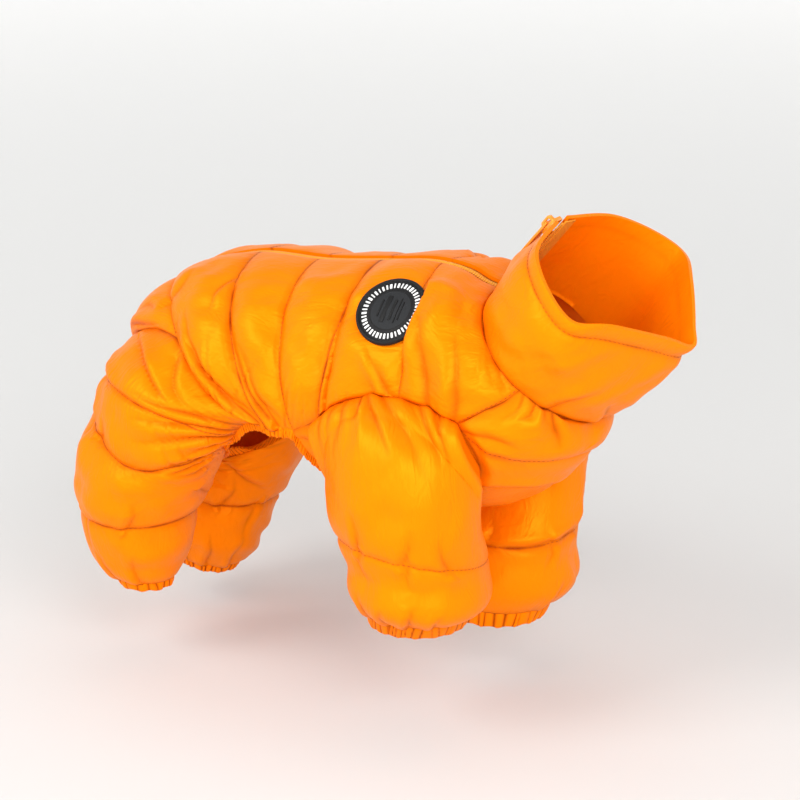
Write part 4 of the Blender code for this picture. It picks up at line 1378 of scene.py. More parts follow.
    def cut_collar(self) -> Shell:
        """The stand collar, from the right of the zip round the neck to the left of it.

        Returns:
            The collar.
        """
        right, left = self.backs[Side.RIGHT].points[-1], self.backs[Side.LEFT].points[-1]
        neck = np.concatenate([right, self.chest.points[-1][1:-1], left[::-1]])
        ring = TRUNK[-1]
        back = np.array([ring.back_x, 0.0, ring.back_z])
        belly = np.array([ring.belly_x, 0.0, ring.belly_z])
        centre, up = (back + belly) / 2, unit(back - belly)
        across, out = np.array([0.0, 1.0, 0.0]), np.array([up[2], 0.0, -up[0]])
        local = neck - centre
        turn = np.degrees(np.arctan2(-local @ across, local @ up)) % 360
        slot = math.degrees(math.asin(ZIP_EDGE / NECK_RADIUS))
        turn[0], turn[-1] = slot, 360 - slot
        rim = glide(columns(RIM, "angle")[:, 0], columns(RIM, "up", "side", "out"), turn)
        edge = centre + rim[:, :1] * up + rim[:, 1:2] * across + rim[:, 2:] * out
        edge[0, 1], edge[-1, 1] = -ZIP_EDGE, ZIP_EDGE
        below = np.linspace(0, COLLAR_STITCH, 4 * FINE + 1)
        shares = np.concatenate([below, np.linspace(COLLAR_STITCH, 1, FINE + 1)[1:]])
        share = shares[:, None, None]
        points = neck[None] * (1 - share) + edge[None] * share
        band = dome(shares / COLLAR_STITCH, 0.6) * COLLAR_LOFT
        strip = dome((shares - COLLAR_STITCH) / (1 - COLLAR_STITCH), 0.6) * STRIP_LOFT
        loft = (band + strip)[:, None] * dome(np.linspace(0, 1, len(neck)), 0.2)[None, :]
        return Shell("collar", points, loft, (shares[:, None], turn[None]), centre + out * 30,
                     [0, 4 * FINE, 5 * FINE])


def limb_rings(rings: tuple[LimbRing, ...], r: Array) -> Array:
    """Rings of a leg at shares of the way down."""
    names = ("x", "y", "z", "half_fore", "half_side", "pitch", "roll", "arch")
    return glide(columns(rings, "r")[:, 0], columns(rings, *names), r)


def settle(top: Array, points: Array, r: Array, reach: float,
           late: Array | float = 0.0) -> Array:
    """Ease a leg's points away from the seam curve that it is sewn to.

    Args:
        top: The seam's points.
        points: The leg's points.
        r: Share of the way down of each row.
        reach: Share by which it is done.
        late: 1 where the leg leaves the seam late, 0 where it leaves at once.

    Returns:
        The eased points.
    """
    share = np.clip(r / reach, 0, 1)
    share = share * (2 - share) * (1 - late) + share * share * (3 - 2 * share) * late
    return top[None] * (1 - share[..., None]) + points * share[..., None]


def clear_of_trunk(points: Array, clearance: Array, side: Side) -> Array:
    """Move points within or too near the trunk out along its normal.

    Args:
        points: Grid of points, whose first row stays.
        clearance: Distance wanted for each row.
        side: The wearer's side.

    Returns:
        The moved points.
    """
    s, angle = np.meshgrid(np.linspace(0.4, 1, 61), np.linspace(60, 180, 61), indexing="ij")
    surface = trunk(s, angle, side)
    normals = unit(np.cross(np.gradient(surface, axis=0), np.gradient(surface, axis=1)))
    normals *= np.sign(np.sum(normals * (surface - [60, 0, 165]), axis=-1, keepdims=True))
    surface, normals = surface.reshape(-1, 3), normals.reshape(-1, 3)
    moved = points.copy()
    for i in range(1, points.shape[0]):
        away = np.linalg.norm(points[i][:, None] - surface[None], axis=-1)
        nearest = np.argmin(away, axis=1)
        depth = np.sum((points[i] - surface[nearest]) * normals[nearest], axis=-1)
        moved[i] += normals[nearest] * np.clip(clearance[i] - depth, 0, None)[:, None]
    return moved


# ------------ listed creases
# A row is a kind, width, depth, peak and path: C is a crease, R a ridge, H a hollow, T a tuck.
# A path's spots are in thousandths and degrees: station and angle from the spine on the trunk,
# way down and turn from the front on a leg, height and turn from the nape on the collar.
FOLDS = {
    # flank, hip, rump, croup, seat, tail, loin, waist, side, arm, badge, shoulder, neck
    "back_right": """
    C 3.2 2.2 0.12 455,102 425,76 405,52
    C 2.6 1.8 0.1 470,106 452,88 430,66
    C 3 2.1 0.15 425,106 370,88 320,66 300,48
    C 2.4 1.8 0.15 410,102 350,80 300,62
    R 4.6 1.5 0.3 395,96 350,76 310,58
    H 5.7 0.9 0.2 275,58 300,44 318,34
    H 5.7 0.9 0.3 262,55 310,58 345,70
    C 3.2 0.9 0.3 222,40 262,36 300,25
    C 3 0.9 0.5 120,30 165,34 200,42
    T 3 1.2 0.5 70,30 118,38 160,45 205,50
    C 2.4 0.8 0.1 20,14 60,20 110,22
    C 2.6 1.2 0.2 392,30 372,40 362,52
    H 7 0.8 0.5 330,18 340,32
    H 6.1 0.7 0.1 512,60 480,52 462,40
    H 5.3 0.9 0.2 505,88 475,80 460,66
    R 9 0.7 0.5 455,30 460,70
    H 5.7 0.7 0.2 515,70 545,64 580,62
    H 6.1 1 0.15 610,74 575,70 550,56
    H 6.5 0.8 0.2 632,48 600,40 570,38
    R 10 0.7 0.5 570,22 575,60
    T 2.6 1 0.3 596,92 618,74 632,56 640,38
    C 2.6 1.6 0.1 738,83 730,73 708,62
    R 4.2 0.9 0.4 752,80 746,70
    H 5.2 0.8 0.2 700,82 686,70 670,62
    C 5.2 1.7 0.3 806,93 826,74 838,46
    C 4.6 1.5 0.2 838,101 884,82 915,56
    R 5.6 0.8 0.4 850,92 872,74
    H 5.7 1.5 0.1 995,94 960,92 925,96
    H 6.5 1.2 0.1 995,74 960,70 928,60
    H 6.5 1.1 0.1 995,45 955,46 920,40
    R 5 1 0.4 970,84 935,80""",
    # flank, hip, rump, croup, seat, tail, loin, waist, side, arm, middle, shoulder, neck
    "back_left": """
    C 3.2 1.5 0.15 450,102 418,80 402,58
    C 2.7 1.2 0.1 474,103 450,84 436,60
    C 3.3 1.4 0.25 420,104 362,84 312,60 290,44
    C 2.5 1.1 0.2 405,100 342,86 298,70
    R 5 1.1 0.4 390,92 345,70 320,52
    H 5.7 1 0.2 270,56 308,46 332,30
    C 3.2 1 0.3 215,34 255,30 290,34
    T 3 1.1 0.4 200,50 150,43 105,35 60,27
    C 2.4 0.8 0.1 18,13 70,17 120,26
    C 2.6 1.2 0.2 395,44 365,50 350,38
    H 7 0.8 0.5 322,26 345,20
    H 6.1 0.9 0.1 513,46 484,40 458,50
    H 5.3 0.8 0.2 504,84 470,72 448,74
    H 5.7 0.8 0.2 514,76 550,74 584,60
    H 6.1 1.1 0.15 624,62 590,56 556,44
    H 6.5 0.8 0.2 640,30 608,28 572,20
    T 2.6 0.9 0.5 642,34 634,52 620,72 600,90
    C 3.2 1.3 0.2 690,82 700,62 716,44
    C 2.6 1.3 0.1 730,84 738,72 722,60
    H 8 0.8 0.5 735,30 720,44
    C 3.2 1 0.1 806,26 770,30 740,22
    C 3 1.4 0.3 758,85 772,70 768,56
    R 4.6 1.3 0.4 782,86 798,68 804,52
    C 3.6 1.7 0.4 812,92 830,76 840,56
    C 3 1.3 0.3 828,98 858,84 872,66
    C 3.4 1.3 0.2 842,101 886,86 912,68
    H 5.7 1.4 0.1 995,98 962,90 930,90
    H 6.5 1.3 0.1 995,66 958,64 922,70
    H 6.5 1 0.1 995,36 960,34 914,40""",
    # below the collar, in front, round the armholes, breast, keel, belly, flanks
    "chest_panel": """
    C 2.6 1.8 0.1 995,118 965,120 935,116
    C 2.8 1.6 0.1 998,108 960,112 905,112
    C 3.4 2.1 0.2 998,132 970,138 945,146 925,150
    R 5 1.3 0.4 985,124 955,128 930,134
    C 3.2 1.6 0.2 998,205 965,214 930,220
    C 2.8 1.5 0.2 998,236 955,240 915,236
    R 5 1 0.4 985,222 945,226
    H 6.5 1 0.2 998,172 975,170 952,176
    C 3.6 2.3 0.45 838,104 829,124 802,137 770,141
    C 3 1.4 0.1 838,106 872,118 892,130
    C 2.8 1.3 0.1 838,110 850,128 868,144
    C 3 1.4 0.1 838,252 868,240 890,226
    C 2.8 1.2 0.1 838,250 848,232 868,214
    T 3.2 1.3 0.4 800,140 832,156 846,176 840,196
    C 3 1.1 0.2 790,220 815,204 826,188
    H 6.5 0.8 0.4 740,168 700,176 665,172
    H 6.1 0.8 0.4 700,150 690,166 705,186
    H 6.1 0.7 0.4 650,206 662,190 650,176
    C 2.8 1 0.1 552,150 585,152 625,160
    C 2.8 1 0.1 560,176 600,178 640,186
    C 2.8 1 0.1 552,204 590,202 628,206
    C 2.4 1 0.1 520,112 556,114 585,118
    C 2.4 1 0.1 520,248 552,244 582,240""",
    # side, cheek, corner under the chin, rim, left side, nape
    "collar": """
    H 8 0.9 0.1 20,62 300,66 550,62
    H 10 0.9 0.5 300,96 550,110
    C 3.6 1.1 0.1 20,128 220,134 420,146
    C 3.2 1.3 0.1 30,176 160,170 300,160
    C 3.2 1.2 0.1 30,186 200,196 380,200
    R 6 1 0.5 700,160 780,180 700,198
    H 6.8 1.1 0.1 840,178 660,176 500,170
    H 7.2 1 0.1 20,228 280,226 500,234
    H 8 0.9 0.1 20,292 300,288 580,292
    H 9 0.9 0.5 350,256 600,266
    H 7.2 0.8 0.1 20,28 260,32 500,28
    H 7.2 0.8 0.1 20,326 240,330 520,334""",
    # notch at the armhole, drapes, quilt line, elbow, forearm, inner side, cuff
    "sleeve_right": """
    C 2.4 2.4 0 0,106 50,106 100,108 160,112
    C 3 1.6 0.15 0,99 80,94 160,86 250,74
    R 3.2 1.7 0.3 20,102 120,101 260,99
    R 5 1.1 0.3 30,92 160,80 360,56
    C 3.4 1.1 0.2 10,80 140,64 300,44
    H 6 1 0.4 50,62 200,48 360,30
    C 3.4 1.2 0.2 10,128 140,126 300,128
    C 3.4 1 0.2 10,140 120,142 260,142
    C 3.8 1 0.2 20,158 160,158 300,160
    C 2.6 1.6 0.1 10,34 120,36 240,34
    C 2.6 1.6 0.1 10,14 100,18 220,20
    C 2.6 1.3 0 600,104 520,101 450,104
    C 2.6 1.3 0 600,104 660,108 730,106
    C 3 1 0 600,66 520,60 450,58
    C 3 0.9 0 600,62 670,66 740,64
    C 3 1.2 0 600,30 540,36 460,38
    H 9 0.8 0.5 420,90 460,66
    H 8 0.7 0.5 340,136 440,140
    H 8 0.8 0.5 740,120 800,96
    C 3.2 1 0.1 600,-60 480,-64 360,-58
    C 3.2 1 0.1 600,-120 500,-112 380,-118
    C 2.2 1.2 0.1 990,118 920,116 840,120
    C 2 1.1 0.1 990,92 930,94 860,90
    C 2.4 1.3 0.1 990,70 910,68 820,64
    C 2.2 1.1 0.1 990,44 920,46 860,42""",
    # notch, drapes, armpit, quilt line, elbow, forearm, inner side, cuff
    "sleeve_left": """
    C 2.4 2.2 0 0,88 70,86 180,82 280,80
    R 3.4 1.5 0.3 20,94 120,94 240,92
    C 2.8 1.9 0.2 10,104 120,106 260,110
    R 4.2 1.5 0.4 30,70 160,66 340,60
    C 3 1.7 0.3 10,62 140,56 280,50
    C 3 1.5 0.2 10,44 140,42 260,40
    C 3.4 1.3 0.2 10,124 160,128 320,126
    C 3.6 1.1 0.2 10,150 140,150 280,154
    C 2.8 1.6 0.1 10,24 140,28 260,26
    C 2.8 1.5 0.1 10,6 120,10 240,14
    C 3.2 1.6 0.3 80,-16 180,-6 280,2
    C 3.4 1.3 0.3 140,-44 260,-36 380,-30
    R 3.4 1.7 0.5 550,-72 555,-40 550,-8 540,24
    H 2.6 1.8 0.5 605,-70 610,-38 605,-6 600,26
    C 2.8 1.2 0 600,76 520,72 440,76
    C 2.8 1.1 0 600,112 670,108 750,112
    C 2.8 1.4 0 600,12 530,18 450,14
    C 2.8 1.2 0 600,-24 670,-20 750,-26
    H 9 0.8 0.5 420,20 480,44
    H 8 0.8 0.5 360,110 440,130
    H 8 0.8 0.5 760,30 820,6
    C 3.2 1.1 0.1 600,-80 500,-76 380,-82
    C 3.2 1 0.1 600,-140 500,-134 400,-142
    C 2.2 1.2 0.1 990,20 920,24 840,20
    C 2.2 1.2 0.1 990,-10 920,-12 840,-6
    C 2.4 1.2 0.1 990,100 910,96 840,100""",
    # drags to the belly, hip, seat, knee, quilt line, thigh, shin, hock, inner side
    "leg_right": """
    C 3 2.1 0.15 140,14 140,50 190,82 200,110
    C 2.8 2.2 0.12 200,12 210,44 270,74 300,100
    C 2.6 2.2 0.12 270,9 290,38 340,66 370,92
    C 2.4 2 0.1 340,6 370,30 410,52
    R 4 1.1 0.3 240,24 250,48 310,78
    R 4.4 1.1 0.3 170,30 180,60 230,96
    T 3.2 1.6 0.4 30,150 70,122 120,96 160,76
    C 2.8 1.4 0.2 20,104 80,88 130,66
    T 3.2 2 0.3 200,200 220,172 250,148 260,124
    C 3 1.9 0.2 100,198 140,180 170,160
    C 2.4 2.2 0.2 470,22 460,46 490,66
    C 2.4 1.7 0.2 520,18 520,38 500,60
    C 2.8 1.4 0.1 560,12 550,30 530,48
    R 4 1.2 0.3 440,24 420,48 430,70
    C 2.8 1.3 0 480,128 430,122 380,126
    C 2.8 1.2 0 480,150 530,146 600,150
    C 3 1.2 0 480,184 550,180 620,184
    H 8 0.9 0.5 360,130 380,158
    H 9 0.8 0.5 640,110 660,140
    C 2.8 1 0 780,64 720,60 660,64
    C 3 1 0 780,120 840,116 900,120
    C 2.8 1 0 780,190 720,194 660,190
    C 2.4 1 0.1 990,60 930,64 860,60
    C 2.4 1 0.1 990,110 930,106 860,108
    C 2.4 1 0.1 990,170 920,168 860,174
    C 3 1.2 0.2 660,0 700,-24 720,-50
    C 3 1.2 0.2 660,226 710,240 740,256""",
    # drags to the belly, hip, seat, knee, quilt line, thigh, inner side, shin, hock
    "leg_left": """
    C 3 1.5 0.2 150,15 160,46 200,78 230,104
    C 2.8 1.5 0.15 220,13 240,40 280,70 290,96
    C 2.6 1.6 0.15 300,10 330,34 360,62
    R 4.2 1.1 0.3 260,22 280,46 330,76
    C 4.2 1.5 0.6 170,80 120,100 80,126 40,154
    C 2.8 1.3 0.2 20,110 90,92 140,72
    T 3.2 1.5 0.7 240,128 240,152 210,176 190,202
    C 2.4 2 0.2 460,20 450,44 480,62
    C 2.4 1.6 0.2 530,16 530,36 500,56
    R 4 1.1 0.3 430,26 420,50
    C 2.8 1.2 0 480,118 430,114 370,118
    C 2.8 1.2 0 480,160 540,156 600,160
    H 8 0.9 0.5 350,140 370,166
    C 3.2 1.3 0.2 620,-70 680,-44 720,-20
    C 3.2 1.2 0.2 620,252 680,232 730,214
    C 2.8 1.1 0 780,-60 720,-54 650,-60
    H 8 0.9 0.5 660,20 700,-10
    C 2.8 1.1 0 780,-20 840,-26 900,-20
    C 2.8 1.1 0 780,34 720,30 660,36
    C 2.8 1 0 780,150 840,146 900,150
    C 2.4 1.2 0.1 990,-60 930,-56 860,-62
    C 2.4 1.2 0.1 990,-20 930,-24 870,-20
    C 2.4 1.2 0.1 990,30 920,34 860,28
    C 2.4 1.1 0.1 990,230 930,234 870,230""",
}


# ------------ casings with elastic
@dataclass(frozen=True)
class Ribs:
    """Gathers of an elastic casing."""

    pitch: float  # mean width of a rib
    depth: float  # mean depth of the valleys between ribs
    uneven: float  # share by which widths vary
    lean: float  # how far ribs lean along the band for each millimetre across it

    def heights(self, x: Array, y: Array, around: float,
                rng: np.random.Generator) -> Array:
        """Heights from 0 on a rib's crest to minus the depth in a valley.

        Args:
            x: Distances along the band.
            y: Distances across it from its middle.
            around: Length of the whole loop.
            rng: Source of the unevenness.

        Returns:
            The height at each point.
        """
        count = max(3, round(around / self.pitch))
        parts = rng.uniform(1 - self.uneven, 1 + self.uneven, count)
        walls = np.concatenate([[0.0], np.cumsum(parts)]) / parts.sum() * around
        depths = self.depth * rng.uniform(0.55, 1.35, count)
        turn = 2 * np.pi * x / around
        lean = sum(np.sin(k * turn + rng.uniform(0, 6.28)) for k in (3, 7, 11)) * self.lean
        at = (x + lean * y) % around
        rib = np.clip(np.searchsorted(walls, at, side="right") - 1, 0, count - 1)
        share = (at - walls[rib]) / (walls[rib + 1] - walls[rib])
        return -depths[rib] * (1 - dome(share, 0.7))


@dataclass
class Casing:
    """A closed band of cloth round an elastic, gathered into ribs."""

    name: str  # name of the frame's node
    line: Array  # closed line of points at the seam
    normals: Array  # outward directions along it
    down: Array  # directions across the band, away from the seam
    start: float  # distance of the band from the line
    width: float
    ribs: Ribs  # its gathers
    count: int  # sections round the loop
    thick: float = 2.5  # thickness of the band
    section: int = 22  # points round a section

    def solid(self) -> Body:
        """Shape the band and measure its loop.

        Returns:
            Vertices, quads, cloth coordinates and painted shade.
        """
        ribs = self.ribs
        line, normals, down = resampled(self.line, self.count, self.normals, self.down)
        normals, down = unit(normals)[:, None], unit(down)[:, None]
        around = lengths_along(np.concatenate([line, line[:1]]))
        x, self.around = around[:-1, None], float(around[-1])
        turn = np.linspace(0, 2 * np.pi, self.section, endpoint=False)[None]
        side = np.sign(np.cos(turn)) * np.abs(np.cos(turn)) ** 0.55 * self.thick / 2
        across = np.sign(np.sin(turn)) * np.abs(np.sin(turn)) ** 0.75 * self.width / 2
        rng = np.random.default_rng(sum(map(ord, self.name)))
        rib = ribs.heights(x, across, self.around, rng)
        body = side * (1 + rib / (self.thick * 0.62))
        wave = 0.35 * ribs.depth * np.sin(x * 2 * np.pi / (ribs.pitch * 2.7) + rng.uniform(0, 6))
        reach = self.start + self.width / 2 + across * (1 + 0.25 * rib / self.width) + wave
        points = line[:, None] + normals * body[..., None] + down * reach[..., None]
        # painted shade in the valleys between the ribs
        shade = np.clip(1.3 * np.clip(-rib / ribs.depth - 0.25, 0, 1) ** 1.1, 0, 0.95)
        cloth = np.stack(np.broadcast_arrays(x, across), axis=-1)
        ring = index_grid(self.count, self.section, True)
        return (points.reshape(-1, 3), grid_quads(np.vstack([ring, ring[:1]])),
                cloth.reshape(-1, 2), shade.ravel())

    def dress(self, shop: Workshop) -> None:
        """Add the band, a strip of cloth folded over the elastic.

        Args:
            shop: The workshop.
        """
        band = shop.add(self.name + ".band", self.solid(), "casing", 70.0, self.name)


def cuff(name: str, leg: Shell, width: float) -> Casing:
    """The elastic casing that draws in the end of a leg.

    Args:
        name: Name of the frame's node.
        leg: The leg or sleeve.
        width: Width of the casing.

    Returns:
        The casing.
    """
    line, above = leg.points[-1], leg.points[-2]
    if not leg.closed:
        line, above = line[:-1], above[:-1]
    centre = line.mean(axis=0)
    axis = unit(centre - above.mean(axis=0))
    radial = unit(line - centre)
    down = unit(np.broadcast_to(axis, line.shape) - radial * 0.22)
    ribs = Ribs(pitch=3.5, depth=1.2, uneven=0.8, lean=0.09)
    return Casing(name, line - radial * 0.2, radial, down, -0.4, width, ribs, 330)


def opening_side(suit: Suit, side: Side) -> Array:
    """One side of the opening's edge: up the inseam, round the thigh and along the flank.

    Args:
        suit: The jumpsuit.
        side: The wearer's side.

    Returns:
        The edge's points, their normals and the points inside them.
    """
    back, fine = bay_lines(BACK_BAYS), suit.chest.fine
    crotch = bay_lines(LEG_BAYS)["crotch"] * fine
    flank = np.arange(back["flank_corner"] * fine, back["belly_corner"] * fine)
    leg, thigh = suit.legs[side], np.arange(crotch, 0, -1)
    return np.concatenate([leg.border((np.arange(1, crotch), -1), (np.arange(1, crotch), -2)),
                           leg.border((thigh, 0), (thigh, 1)),
                           suit.backs[side].border((flank, -1), (flank, -2))])


def opening_hem(suit: Suit) -> Casing:
    """The elastic casing round the belly and tail opening.

    Args:
        suit: The jumpsuit.

    Returns:
        The casing.
    """
    tails = {side: suit.backs[side].border((0,), (1,)) for side in Side}
    loop = np.concatenate([opening_side(suit, Side.RIGHT), suit.chest.border((0,), (1,)),
                           opening_side(suit, Side.LEFT)[::-1], tails[Side.LEFT][::-1],
                           tails[Side.RIGHT]])
    line, normals, inside = np.moveaxis(loop, 1, 0)
    tangent = unit(np.roll(line, -1, axis=0) - np.roll(line, 1, axis=0))
    outward = line - inside
    outward -= np.sum(outward * tangent, axis=-1, keepdims=True) * tangent
    line, normals, down = resampled(line, 600, normals, unit(outward))
    below = np.array([0.0, 0.0, -1.0])
    down = down + 2.4 * below * smooth_step(-80, -45, line[:, :1]) * (line[:, 2:] < 150)
    down, normals = unit(eased(down, 40)), eased(normals, 40)
    normals = unit(normals - np.sum(normals * down, axis=1, keepdims=True) * down)
    ribs = Ribs(pitch=1.7, depth=0.8, uneven=0.5, lean=0.10)
    return Casing("opening_hem", eased(line, 3), normals, down, -0.9, 5.5, ribs, 1900)


# ------------ zip
@dataclass
class Zip:
    """The zip from the tail to the collar's rim."""

    suit: Suit
    tape_inner: float = 1.15  # distance of a tape's inner edge from the zip's middle
    tape_outer: float = 9.5  # distance of its outer edge
    tape_thick: float = 0.7  # thickness of a tape
    under: float = 0.3  # gap between a tape and the panel over it
    pitch: float = 1.25  # length of one turn of a coil
    plain: float = 8.0  # length without coil at each end
    wire: float = 0.33  # half the thickness of a coil's wire
    cord: float = 0.26  # half the thickness of a coil's cord

    def __post_init__(self) -> None:
        """Join the slot edges of the back panels and the collar."""
        self.edge, self.next, self.edge_normal = {}, {}, {}
        collar = self.suit.collar
        for side in Side:
            back = self.suit.backs[side]
            first, second = (0, 1) if side is Side.RIGHT else (-1, -2)
            self.edge[side] = np.concatenate([back.points[:, 0], collar.points[1:, first]])
            self.next[side] = np.concatenate([back.points[:, 1], collar.points[1:, second]])
            self.edge_normal[side] = np.concatenate([back.normals[:, 0],
                                                     collar.normals[1:, first]])
        self.centre = (self.edge[Side.RIGHT] + self.edge[Side.LEFT]) / 2
        both = self.edge_normal[Side.RIGHT] + self.edge_normal[Side.LEFT]
        self.normal = unit(both * [1.0, 0.0, 1.0])
        self.length = lengths_along(self.centre)

    def at(self, lengths: Array) -> tuple[Array, Array, Array]:
        """Read the zip's middle.

        Args:
            lengths: Distances from its low end.

        Returns:
            Points, normals and directions.
        """
        ahead = np.gradient(self.centre, axis=0)
        return (read_along(self.length, self.centre, lengths),
                unit(read_along(self.length, self.normal, lengths)),
                unit(read_along(self.length, ahead, lengths)))

    def tape(self, side: Side) -> Body:
        """One woven tape, with rounded edges and a bead beside the coil.

        Args:
            side: The wearer's side.

        Returns:
            Vertices, faces and cloth coordinates.
        """
        near = self.centre + (self.edge[side] - self.centre) * (self.tape_inner / ZIP_EDGE)
        outward = unit(self.next[side] - self.edge[side])
        far = self.edge[side] + outward * (self.tape_outer - ZIP_EDGE)
        top = -WALL / 2 - self.under
        bottom = top - self.tape_thick
        section = ((0.00, bottom), (0.00, top), (0.03, top + 0.12), (0.16, top + 0.12),
                   (0.20, top), (0.97, top), (1.00, top - 0.2), (1.00, bottom + 0.1),
                   (0.97, bottom))
        shown, rows = slice(2, len(near) - 1), []
        for share, height in section:
            line = near * (1 - share) + far * share
            toward = unit(self.normal * (1 - share) + self.edge_normal[side] * share)
            rows.append((line + toward * height)[shown])
        across = np.array([share for share, _ in section])[:, None] * self.tape_outer
        cloth = np.stack(np.broadcast_arrays(across, self.length[shown][None]), -1)
        cloth = np.vstack([cloth.reshape(-1, 2), cloth[0, :1], cloth[0, -1:]])
        return *bar(np.array(rows)), cloth

    def coil(self, side: Side) -> Body:
        """One side's coil: a moulded spiral whose loops lie between those of the other side.

        Args:
            side: The wearer's side.

        Returns:
            Vertices and faces.
        """
        steps, sides = 14, 6
        turns = int((self.length[-1] - 2 * self.plain) / self.pitch)
        t = np.arange(turns * steps) / steps
        shift = 0.5 if side is Side.LEFT else 0.0
        middle, normal, along = self.at(self.plain + (t + shift) * self.pitch)
        turn = 2 * np.pi * t
        line = (middle + np.array([0.0, float(side), 0.0]) * (0.55 + 0.95 * np.cos(turn))[:, None]
                + normal * (-0.55 + 0.62 * np.sin(turn))[:, None])
        ahead = unit(np.gradient(line, axis=0))
        first = unit(np.cross(ahead, along))
        second = np.cross(ahead, first)
        ring = (2 * np.pi * np.arange(sides) / sides)[:, None, None]
        return bar(line + self.wire * (np.cos(ring) * first + np.sin(ring) * second))

    def sewing_cord(self, side: Side) -> Body:
        """The twisted cord that lies along one coil.

        Args:
            side: The wearer's side.

        Returns:
            Vertices and faces.
        """
        at = np.linspace(self.plain, self.length[-1] - self.plain, 420)
        middle, normal, _ = self.at(at)
        line = middle + np.array([0.0, self.tape_inner * side, 0.0]) - normal * 0.12
        ring = (2 * np.pi * np.arange(6) / 6)[:, None, None]
        size = self.cord * (1 + 0.25 * np.sin(at * 2 * np.pi / 1.4))[:, None]
        return bar(line + size * (np.cos(ring) * np.array([0.0, 1.0, 0.0]) + np.sin(ring) * normal))

    def dress(self, shop: Workshop) -> None:
        """Add the tapes, the coils with their cords, the slider and its tab.

        Args:
            shop: The workshop.
        """
        for side in Side:
            name = f"zip_tape_{side.word}"
            tape = shop.add(name + ".weave", self.tape(side), "tape", 40.0, name)
        shop.add("zip_coil", joined(self.coil(side) for side in Side), "coil", 60.0, "zip_chain")
        shop.add("zip_cords", joined(self.sewing_cord(side) for side in Side), "cord", 60.0)
        shop.copy_node("zip_slider.body", "zip_slider", "suit")
        shop.copy_node("zip_pull.tab", "zip_pull", "zip_pull")


def bar(points: Array) -> Body:
    """A bar closed at both ends by fans.

    Args:
        points: The lines of points along it, one for each corner of its section.

    Returns:
        Vertices and faces.
    """
    size, count = points.shape[:2]
    grid = np.arange(size * count).reshape(size, count)
    ends = [points[:, 0].mean(axis=0), points[:, -1].mean(axis=0)]
    faces = [grid_quads(np.vstack([grid, grid[:1]])), fan(size * count, grid[:, 0]),
             fan(size * count + 1, grid[:, -1])[:, [0, 2, 1, 3]]]
    return np.concatenate([points.reshape(-1, 3), ends]), np.concatenate(faces)


def joined(bodies: Iterable[Body]) -> Body:
    """Several bodies as one.

    Args:
        bodies: Vertices and faces of each.

    Returns:
        Vertices and faces.
    """
    vertices, faces = zip(*bodies)
    starts = np.cumsum([0] + [len(points) for points in vertices])
    return (np.concatenate(vertices),
            np.concatenate([quads + start for quads, start in zip(faces, starts)]))


